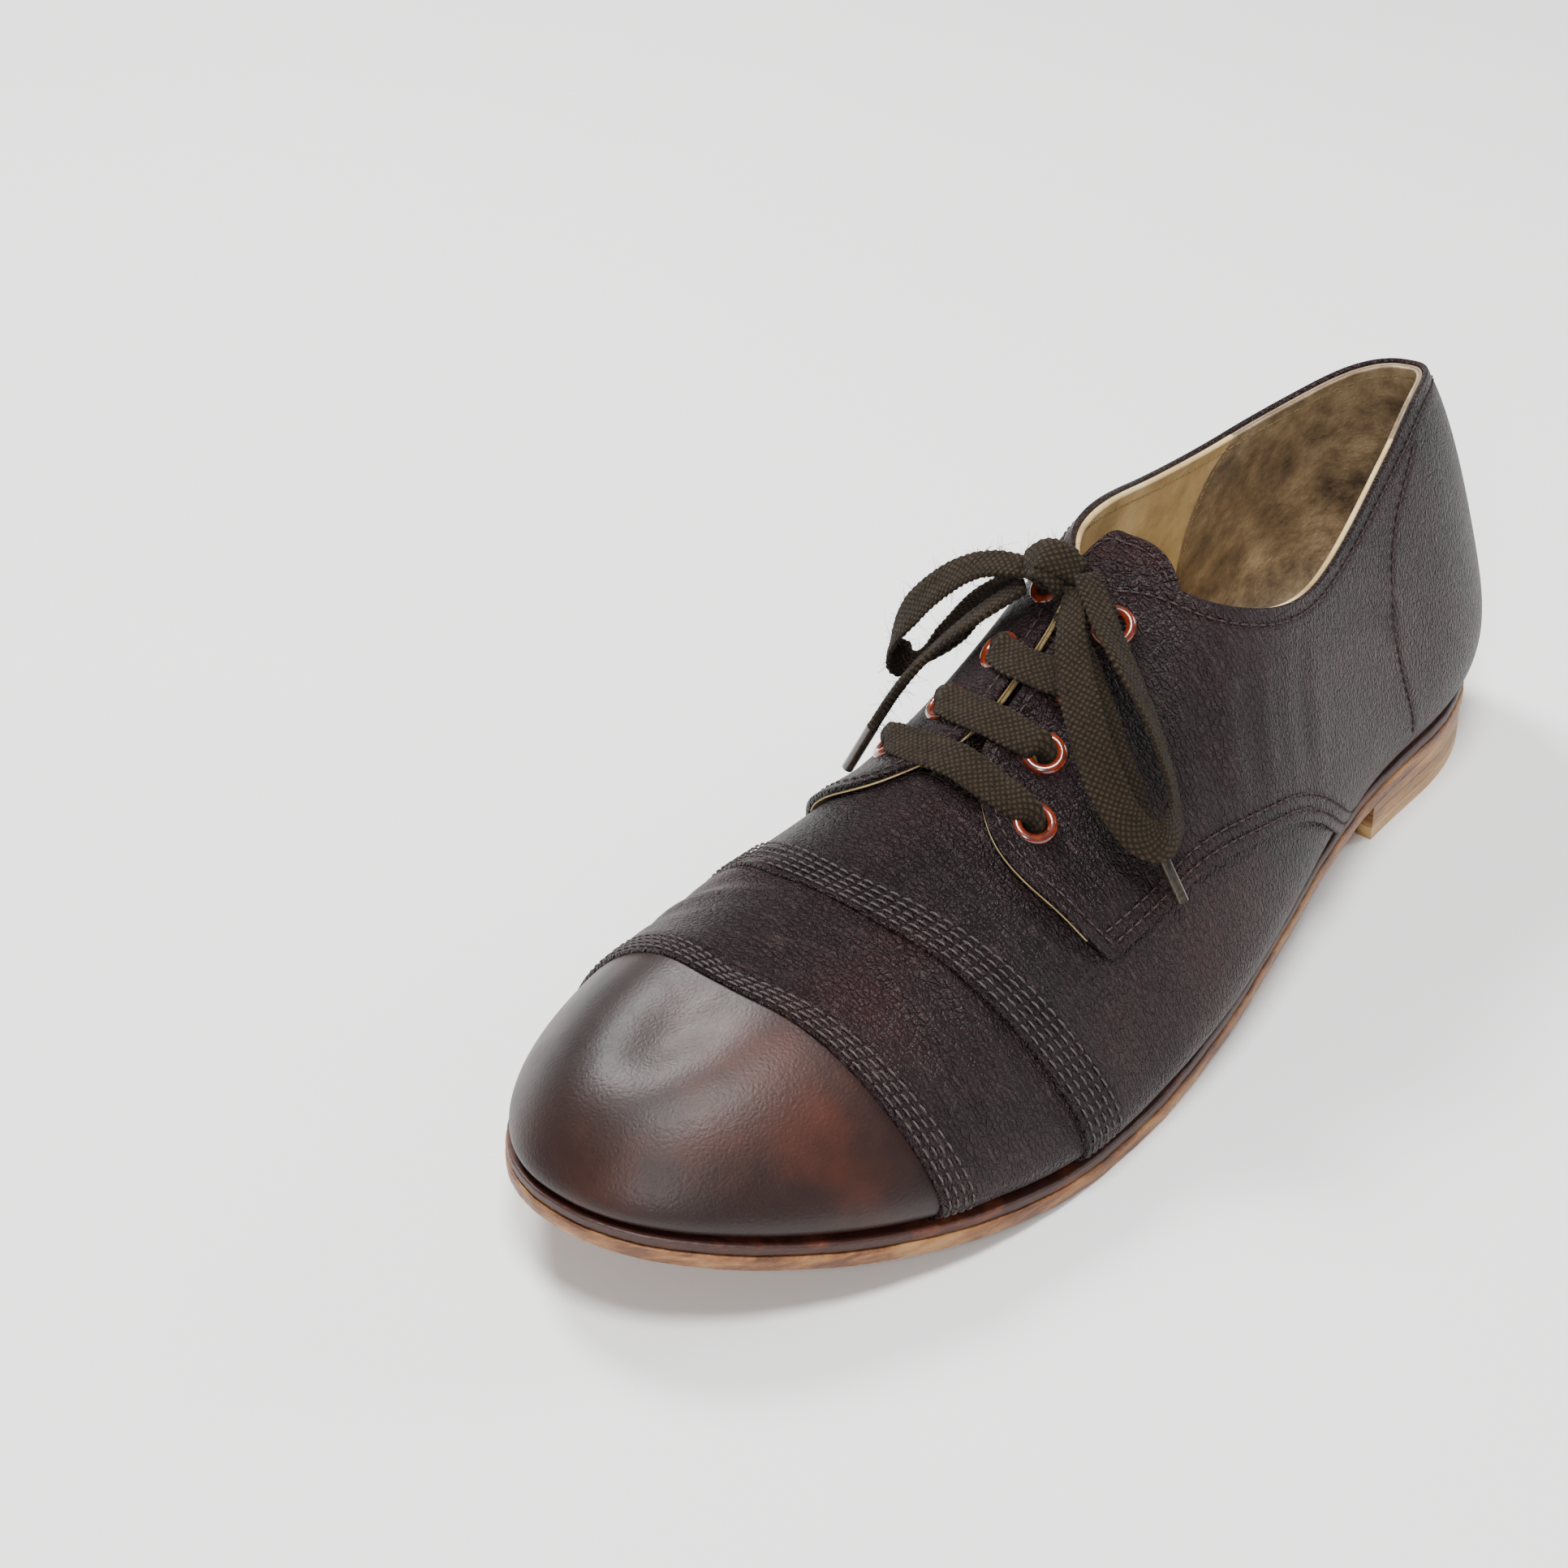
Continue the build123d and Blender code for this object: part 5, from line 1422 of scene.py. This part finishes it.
    def build_quarter(self, side: Side) -> None:
        """Make one quarter with its lining and its stitches."""
        name, sign = side.name.lower(), side.value
        top = side_row(TOPLINE[sign], sign, -self.topline_inset, 0.0, 1.0)
        front = side_row(QUARTER_FRONT, sign, 2.3, 0.0, 0.97)
        foot = [side_row(QUARTER_FOOT, sign, inset, 0.60, 1.0) for inset in (2.0, 4.6)]
        heel = side_row(HEEL_STITCH[sign], sign)
        rows = [top, front, *foot, heel]
        curl = self.curl_of(sign)
        quarter = Panel(f"{name}_quarter_leather", quarter_chart(sign), LAYERS.quarter, LAYERS.leather, 170, 420,
                        lift=curl, holes=EYELETS[sign], creases=[c for c in self.quarter_creases if c.side == sign],
                        channels=self.channel(rows, LAYERS.quarter))
        dress(quarter.build(CALF.material()), "shoe", "upper_leather", f"{name}_quarter")
        lining = Panel(f"{name}_lining_leather", quarter_lining_chart(sign), LAYERS.lining, LAYERS.leather, 110, 220,
                       holes=EYELETS[sign])
        dress(lining.build(LINING.material()), "shoe", "lining_leather", f"{name}_quarter_lining")
        seams = [Seam(row, LAYERS.quarter + self.lift_along(row, sign), *FINE_STITCH) for row in rows]
        dress(thread(f"{name}_quarter_stitching", seams, DARK_THREAD.material()), "shoe", "upper_leather")
        inside = Seam(top, LAYERS.lining - LAYERS.leather - 0.05, *FINE_STITCH)
        dress(thread(f"{name}_lining_stitching", [inside], PALE_THREAD.material()), "shoe", "lining_leather")

    def lift_along(self, row: Array, side: int) -> Array:
        """Return how far the quarter's free edge has lifted along a row."""
        places = LAST.place(*row.T, LAYERS.quarter)
        return self.curl_of(side)(row[:, 0], row[:, 1], places)

    def build_facing_edge(self, side: Side) -> None:
        """Make the strip of lining that shows as a pale edge under the quarter's free front."""
        sign = side.value
        edges = [side_row(QUARTER_FRONT, sign, inset, 0.06, 0.93) for inset in self.strip_insets]

        def chart(a: Array, b: Array) -> tuple[Array, Array, Array]:
            k = np.linspace(0, 1, len(edges[0]))
            near, far = (np.stack([np.interp(a[0], k, row[:, n]) for n in (0, 1)], -1) for row in edges)
            mixed = near[None] * (1 - b[..., None]) + far[None] * b[..., None]
            return mixed[..., 0], mixed[..., 1], np.full(a.shape, sign)

        strip = Panel(f"{side.name.lower()}_facing_edge", chart, LAYERS.quarter - LAYERS.leather - self.strip_gap,
                      self.strip_thick, 12, 260, lift=self.curl_of(sign))
        dress(strip.build(LINING.material()), "shoe", "lining_leather")

    def build_inside(self) -> None:
        """Make the heel grip and the tongue."""
        grip = Panel("heel_grip_suede", heel_chart, LAYERS.grip, 0.6, 110, 200)
        dress(grip.build(SUEDE.material()), "shoe", "grip_suede", "heel_grip")
        rows = []
        for sign in (1, -1):
            line = heel_line(sign)(np.linspace(0.02, 0.96, 120))
            rows.append(np.column_stack([line - (0.004, 0), np.full(120, sign)]))
        seams = [Seam(row, LAYERS.grip - 0.65, *FINE_STITCH) for row in rows]
        dress(thread("grip_stitching", seams, PALE_THREAD.material()), "shoe", "grip_suede")
        k = np.linspace(0.03, 0.97, 200)
        end = path_through(TONGUE_END)(k) + (0.0055, 0)
        edge = np.column_stack([end[:, 0], 1 - np.abs(end[:, 1]) * 0.94, np.where(end[:, 1] >= 0, 1, -1)])
        tongue = Panel("tongue_leather", tongue_chart, LAYERS.tongue, LAYERS.tongue_thick, 120, 160,
                       channels=self.channel([edge], LAYERS.tongue))
        dress(tongue.build(CALF.material()), "tongue", "upper_leather", "tongue")
        dress(thread("tongue_stitching", [Seam(edge, LAYERS.tongue, *FINE_STITCH)], DARK_THREAD.material()),
              "tongue", "upper_leather")


@dataclass
class Sole:
    """Outsole and midsole; the sock that is seen inside stays a CAD node.

    Attributes:
        margin: how far the outsole stands out past the upper's edge.
        corner: radius of the trimmed edges.
        waver: how uneven the trimmed edge is.
    """
    margin: float = 2.5
    outsole: float = 3.1
    midsole: float = 2.3
    glue: float = 0.12
    corner: float = 0.55
    waver: float = 0.12

    def slab(self, name: str, low: Callable[[Array], Array], high: Callable[[Array], Array], grow: float,
             material: bpy.types.Material) -> bpy.types.Object:
        """Make a layer on the sole's outline with rounded, hand-trimmed edges.

        Args:
            name: the piece's name.
            low, high: its underside and top as functions of x.
            grow: how far it stands out past the upper's edge.
            material: its finish.

        Returns:
            The layer.
        """
        turn = np.linspace(0, np.pi / 2, 5)
        inset = np.concatenate([self.corner * (1 - np.sin(turn)), self.corner * (1 - np.cos(turn))])
        drop = np.concatenate([self.corner * (1 - np.cos(turn)), -self.corner * (1 - np.sin(turn))])
        span = 9
        runs = (1 - np.cos(np.linspace(0, np.pi, 321))) / 2 * 0.35 + np.linspace(0, 1, 321) * 0.65
        waver = self.waver * (np.sin(runs * 91) + 0.6 * np.sin(runs * 233 + 1) + 0.4 * np.sin(runs * 517 + 2)) / 2
        rings = []
        for side, order in ((1, 1), (-1, -1)):
            wall = []
            for k, (cut, fall) in enumerate(zip(inset, drop)):
                place = LAST.edge_point(runs, side, grow - cut + waver * (1 if side > 0 else 0.8))
                x = place[:, 0]
                place[:, 2] = high(x) - fall if k < len(turn) else low(x) - fall
                wall.append(place)
            rings.append(np.stack(wall[::order], 1))
        share = np.linspace(0, 1, span + 2)[1:-1, None]
        bottom = rings[0][:, -1:, :] * (1 - share) + rings[1][:, :1, :] * share
        top = rings[1][:, -1:, :] * (1 - share) + rings[0][:, :1, :] * share
        loop = np.concatenate([rings[0], bottom, rings[1], top], axis=1)
        rows, around = loop.shape[:2]
        number = np.arange(rows * around).reshape(rows, around)
        wrapped = np.roll(number, -1, axis=1)
        quads = np.stack([number[:-1], number[1:], wrapped[1:], wrapped[:-1]], -1).reshape(-1, 4)
        piece = new_object(name, loop.reshape(-1, 3), quads.tolist(), material)
        self.weld(piece)
        return piece

    def weld(self, piece: bpy.types.Object) -> None:
        """Join the vertices that meet at the two ends of a layer and close it."""
        net = bmesh.new()
        net.from_mesh(piece.data)
        bmesh.ops.remove_doubles(net, verts=net.verts, dist=0.02 * MM)
        bmesh.ops.holes_fill(net, edges=[edge for edge in net.edges if edge.is_boundary])
        bmesh.ops.recalc_face_normals(net, faces=net.faces)
        net.to_mesh(piece.data)
        net.free()

    def build(self) -> None:
        """Make the layers."""
        outsole = self.slab("outsole_trimmed", LAST.bottom_z, lambda x: LAST.bottom_z(x) + self.outsole - self.glue,
                            self.margin, OUTSOLE_EDGE.material())
        dress(outsole, "shoe", "outsole_leather", "outsole")
        midsole = self.slab("midsole_trimmed", lambda x: LAST.bottom_z(x) + self.outsole,
                            lambda x: LAST.edge_z(x) - self.glue, self.margin - 0.4, MIDSOLE_EDGE.material())
        dress(midsole, "shoe", "midsole_leather", "midsole")


@dataclass
class Lacing:
    """The lace: three bars across the facings, two ends up to the knot, and the free bow.

    Attributes:
        knot: the knot's middle.
        knot_axis: the direction the bow's loops come out across.
        cords: the routes of the loops and tails.
        facings: rough directions their flat faces look in, spread evenly along them.
        widths: their widths, spread evenly along them.
    """
    knot: tuple[float, float, float] = (134.0, -2.5, 83.8)
    knot_axis: tuple[float, float, float] = (-0.84, 0, 0.54)
    cords: dict = field(default_factory=lambda: {
        "lateral_loop": [(135.6, 3.2, 82.0), (140.5, 6.2, 80.0), (146.5, 11.0, 75.0), (152.5, 18.5, 68.5),
                         (156.3, 25.5, 61.5), (158.0, 31.2, 56.2), (157.0, 35.6, 52.4), (153.2, 37.8, 50.9),
                         (148.8, 37.0, 53.2), (146.0, 33.6, 58.4), (143.8, 27.6, 67.0), (141.5, 19.5, 75.0),
                         (138.5, 11.5, 81.0), (133.3, 4.0, 85.0)],
        "lateral_tail": [(137.6, 3.0, 78.6), (141.4, 8.0, 75.6), (145.5, 15.0, 70.5), (148.8, 22.5, 63.0),
                         (150.5, 29.0, 55.6), (151.0, 34.2, 48.4)],
        "medial_loop": [(135.2, -8.2, 82.8), (135.5, -14.0, 82.0), (136.5, -20.5, 79.0), (139.0, -27.0, 73.0),
                        (140.8, -31.8, 66.0), (141.4, -34.4, 60.2), (140.0, -35.2, 55.6), (136.8, -33.6, 53.4),
                        (134.0, -29.8, 55.6), (132.6, -26.0, 61.4), (131.8, -21.0, 69.5), (131.5, -15.5, 76.2),
                        (132.2, -8.4, 81.8)],
        "medial_tail": [(135.2, -7.9, 79.2), (139.5, -12.5, 75.0), (143.5, -18.5, 68.5), (146.5, -24.5, 60.5),
                        (148.5, -29.0, 52.5), (149.5, -32.5, 45.0)]})
    facings: dict = field(default_factory=lambda: {
        "lateral_loop": [(0.8, -0.3, 0.6), (0.9, 0.3, 0.5), (0.9, 0.5, 0.3), (0.3, 0.9, 0.1), (-0.6, 0.6, 0.5),
                         (-0.5, 0.7, 0.6), (-0.3, 0.5, 0.9), (0.2, 0.2, 1.0)],
        "lateral_tail": [(0.5, 0.5, 0.7), (0.3, 0.8, 0.5), (0.3, 0.9, 0.3)],
        "medial_loop": [(0.5, 0.2, 0.9), (0.6, -0.2, 0.8), (0.8, -0.5, 0.3), (0.3, -0.9, 0.1), (-0.6, -0.6, 0.5),
                        (-0.5, -0.5, 0.8), (0.0, -0.2, 1.0)],
        "medial_tail": [(0.5, -0.5, 0.7), (0.3, -0.8, 0.5), (0.3, -0.9, 0.3)]})
    widths: dict = field(default_factory=lambda: {
        "lateral_loop": (4.5, 7.0, 7.5, 7.5, 7.5, 7.5, 7.0, 4.5),
        "lateral_tail": (4.5, 6.5, 6.5, 5.0, 2.6),
        "medial_loop": (4.5, 7.0, 7.5, 7.5, 7.0, 4.5),
        "medial_tail": (4.5, 6.0, 6.0, 4.5, 2.6)})

    def free_lace(self, name: str, body: str) -> Lace:
        path = nurbs_path(name + "_route", self.cords[name])
        lace = Lace(name + "_lace", path, self.facings[name], self.widths[name])
        piece = dress(lace.build(COTTON.material()), body, "lace_cotton", name)
        world = Place.world(path)
        return lace

    def bar_route(self, number: int) -> list[Array]:
        """Return the route of the bar across a pair of eyelets, out of one and into the other."""
        medial, lateral = EYELETS[-1][number], EYELETS[1][number]
        bow = (0.020, 0.012, 0.008)[number]
        low, over, level = LAYERS.quarter - 3, LAYERS.quarter + 2.6, LAYERS.quarter + 1.6
        run = (medial[0] + lateral[0]) / 2 + bow
        stations = [(*medial, -1, low), (*medial, -1, over),
                    ((medial[0] + run) / 2, (1 + 2 * medial[1]) / 3, -1, level), (run, 0.96, -1, level),
                    (run, 0.96, 1, level), ((lateral[0] + run) / 2, (1 + 2 * lateral[1]) / 3, 1, level),
                    (*lateral, 1, over), (*lateral, 1, low)]
        return [LAST.place(*station) for station in stations]

    def build(self) -> None:
        """Make every part of the lace and its loose fibres."""
        for side in Side:
            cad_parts[f"{side.name.lower()}_aglet"].data.materials.clear()
            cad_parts[f"{side.name.lower()}_aglet"].data.materials.append(FILM.material())
        free = {}
        for side in Side:
            label = side.name.lower()
            for part in ("loop", "tail"):
                free[f"{label}_{part}"] = self.free_lace(f"{label}_{part}", f"{label}_bow")
        bars = []
        for number in range(3):
            path = nurbs_path(f"bar_{number}", self.bar_route(number))
            middle = LAST.outward(np.array(0.56), np.array([0.75, 1, 0.75]), np.array([-1, 1, 1]))
            bar = Lace(f"lace_bar_{number + 1}", path, [(1, 0, 0.2), *middle.tolist(), (1, 0, 0.2)],
                       (4.2, 6.2, 7.2, 7.2, 7.2, 6.2, 4.2))
            dress(bar.build(COTTON.material()), "shoe", "lace_cotton", f"lace_row_{number + 1}")
            bars.append(bar)
        knot = self.build_knot()
        dress(fuzz("bar_fuzz", bars + knot, 9, FUZZ.material()), "shoe", "lace_cotton")
        for side in Side:
            label = side.name.lower()
            pair = [free[f"{label}_loop"], free[f"{label}_tail"]]
            dress(fuzz(f"{label}_fuzz", pair, 9, FUZZ.material(), 40), f"{label}_bow", "lace_cotton")

    def build_knot(self) -> list[Lace]:
        """Make the two ends from the top eyelets and the wraps of the knot."""
        middle, axis = np.array(self.knot), normalised(np.array(self.knot_axis))
        side = np.array([0, 1.0, 0])
        front = normalised(np.cross(side, axis))
        made = []
        for sign in (1, -1):
            eyelet = EYELETS[sign][3]
            route = [LAST.place(*eyelet, sign, LAYERS.quarter - 3), LAST.place(*eyelet, sign, LAYERS.quarter + 2.8),
                     middle + side * sign * 7.5 - axis * 1.5, middle + side * sign * 1.5 - front * 1.5]
            made.append(Lace(f"{'lateral' if sign > 0 else 'medial'}_lace_end",
                             nurbs_path("end", route), [(0.4, sign * 0.4, 0.8), (0.3, sign * 0.3, 0.9)],
                             (4.2, 5.6, 5.6, 5.0)))
        turns = np.linspace(-0.15, 1.15, 15) * 2 * np.pi
        wrap = [middle + side * 2.6 * math.cos(turn) * 1.25 + front * 3.4 * math.sin(turn)
                + axis * (1.4 * turn / 3 - 1.6) for turn in turns]
        spread = np.array([side * math.cos(turn) + front * math.sin(turn)
                           for turn in np.linspace(-0.15, 1.15, 9) * 2 * np.pi])
        made.append(Lace("knot_wrap", nurbs_path("wrap", wrap), spread.tolist(), (6.0, 6.8, 6.8, 6.0), 1.6))
        cross = [middle - side * 5.5 - axis * 1.0, middle - side * 3 + front * 2.8 + axis * 0.6,
                 middle + front * 4.4 + axis * 0.8, middle + side * 3 + front * 2.8 + axis * 1.0,
                 middle + side * 5.5 + axis * 1.2]
        made.append(Lace("knot_cross", nurbs_path("cross", cross), [front.tolist()] * 2, (5.0, 6.6, 6.6, 5.0), 1.7))
        for lace, nodes in zip(made, (("lace_ends",), (), ("lace_knot",), ())):
            dress(lace.build(COTTON.material()), "shoe", "lace_cotton", *nodes)
        return made


# ---------------------------------------------------------------- camera, light and floor
@dataclass(frozen=True)
class Studio:
    """Camera, soft light and pale floor.

    Attributes:
        camera_place: the camera's place, in millimetres in the maker's frame.
        yaw, pitch, roll: its direction, in degrees.
        focal, sensor: its lens and sensor width, in millimetres.
        shift: the lens shift.
        middle: what the lamps look at, in metres.
        lamps: each lamp's name, place in metres, width and power.
        ambient: strength of the pale surroundings.
        floor_half: half the floor's width, in millimetres.
    """
    camera_place: tuple[float, float, float] = (530, 276, 359)
    yaw: float = 221.31
    pitch: float = 33.35
    roll: float = 0.99
    focal: float = 69.3
    sensor: float = 36
    shift: tuple[float, float] = (0.0074, -0.0128)
    middle: tuple[float, float, float] = (0.03, 0, 0.03)
    lamps: tuple = (("key", (-0.15, -0.75, 0.95), 0.35, 17), ("top", (0.25, 0.15, 1.2), 0.4, 18),
                    ("front", (1.0, 0.5, 0.8), 0.3, 8), ("rim", (-0.9, 0.5, 0.6), 0.4, 5))
    ambient: float = 0.36
    floor_half: float = 4000.0

    def build_camera(self) -> None:
        """Make the camera."""
        data = bpy.data.cameras.new("camera")
        data.lens = self.focal
        data.sensor_width = self.sensor
        data.shift_x, data.shift_y = self.shift
        yaw, pitch, roll = (math.radians(angle) for angle in (self.yaw, self.pitch, self.roll))
        ahead = Vector((math.cos(yaw) * math.cos(pitch), math.sin(yaw) * math.cos(pitch), -math.sin(pitch)))
        right = Vector((math.sin(yaw), -math.cos(yaw), 0))
        down = ahead.cross(right)
        turned_right = right * math.cos(roll) + down * math.sin(roll)
        turned_down = down * math.cos(roll) - right * math.sin(roll)
        camera = bpy.data.objects.new("camera", data)
        turn = Matrix((turned_right, -turned_down, -ahead)).transposed()
        camera.matrix_world = Matrix.Translation(Place.world(np.array(self.camera_place, float))) @ turn.to_4x4()
        bpy.context.scene.collection.objects.link(camera)
        bpy.context.scene.camera = camera

    def build_light(self) -> None:
        """Make the soft boxes and the pale surroundings."""
        for name, place, size, power in self.lamps:
            data = bpy.data.lights.new(name, "AREA")
            data.shape, data.size, data.energy = "DISK", size, power
            lamp = bpy.data.objects.new(name, data)
            lamp.location = place
            lamp.rotation_euler = (Vector(place) - Vector(self.middle)).to_track_quat("Z", "Y").to_euler()
            bpy.context.scene.collection.objects.link(lamp)
        world = bpy.data.worlds.new("studio")
        world.use_nodes = True
        world.node_tree.nodes["Background"].inputs["Color"].default_value = linear("f4f4f2")
        world.node_tree.nodes["Background"].inputs["Strength"].default_value = self.ambient
        bpy.context.scene.world = world

    def build_floor(self) -> None:
        """Make the floor."""
        half = self.floor_half
        corners = np.array([(-half, -half, 0), (half, -half, 0), (half, half, 0), (-half, half, 0)]) + Place.origin
        new_object("floor", corners, [[0, 1, 2, 3]], FLOOR_PAINT.material())


CAD_FINISHES = {
    "lateral_eyelets": ENAMEL, "medial_eyelets": ENAMEL, "toe_puff": STIFFENER, "heel_counter": STIFFENER,
    "vamp_backer": BACKER, "toe_lining": LINING, "vamp_lining": LINING, "top_piece": TOP_PIECE,
    "lower_heel_lift": LIFT_EDGE, "upper_heel_lift": LIFT_EDGE, "heel_nails": BRASS, "shank": STEEL,
    "cork_filler": CORK, "lasted_margin": CALF, "insole": BOARD, "sock_lining": SOCK, "lace_inner_runs": FUZZ}


def finish_cad_nodes() -> None:
    """Give every CAD node that stays its finish."""
    for name, finish in CAD_FINISHES.items():
        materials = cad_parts[name].data.materials
        materials.clear()
        materials.append(finish.material())
        log.info("finished %s", name)


def write_size() -> None:
    """Update the view layer."""
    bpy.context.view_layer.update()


def main() -> None:
    """Build the shoe."""
    logging.basicConfig(level=logging.INFO, format="%(message)s")
    studio = Studio()
    studio.build_camera()
    Lacing().build()
    upper = Upper()
    upper.build_forepart()
    for side in Side:
        upper.build_quarter(side)
        upper.build_facing_edge(side)
    upper.build_inside()
    Sole().build()
    finish_cad_nodes()
    studio.build_floor()
    studio.build_light()
    write_size()


if __name__ == "__main__":
    main()
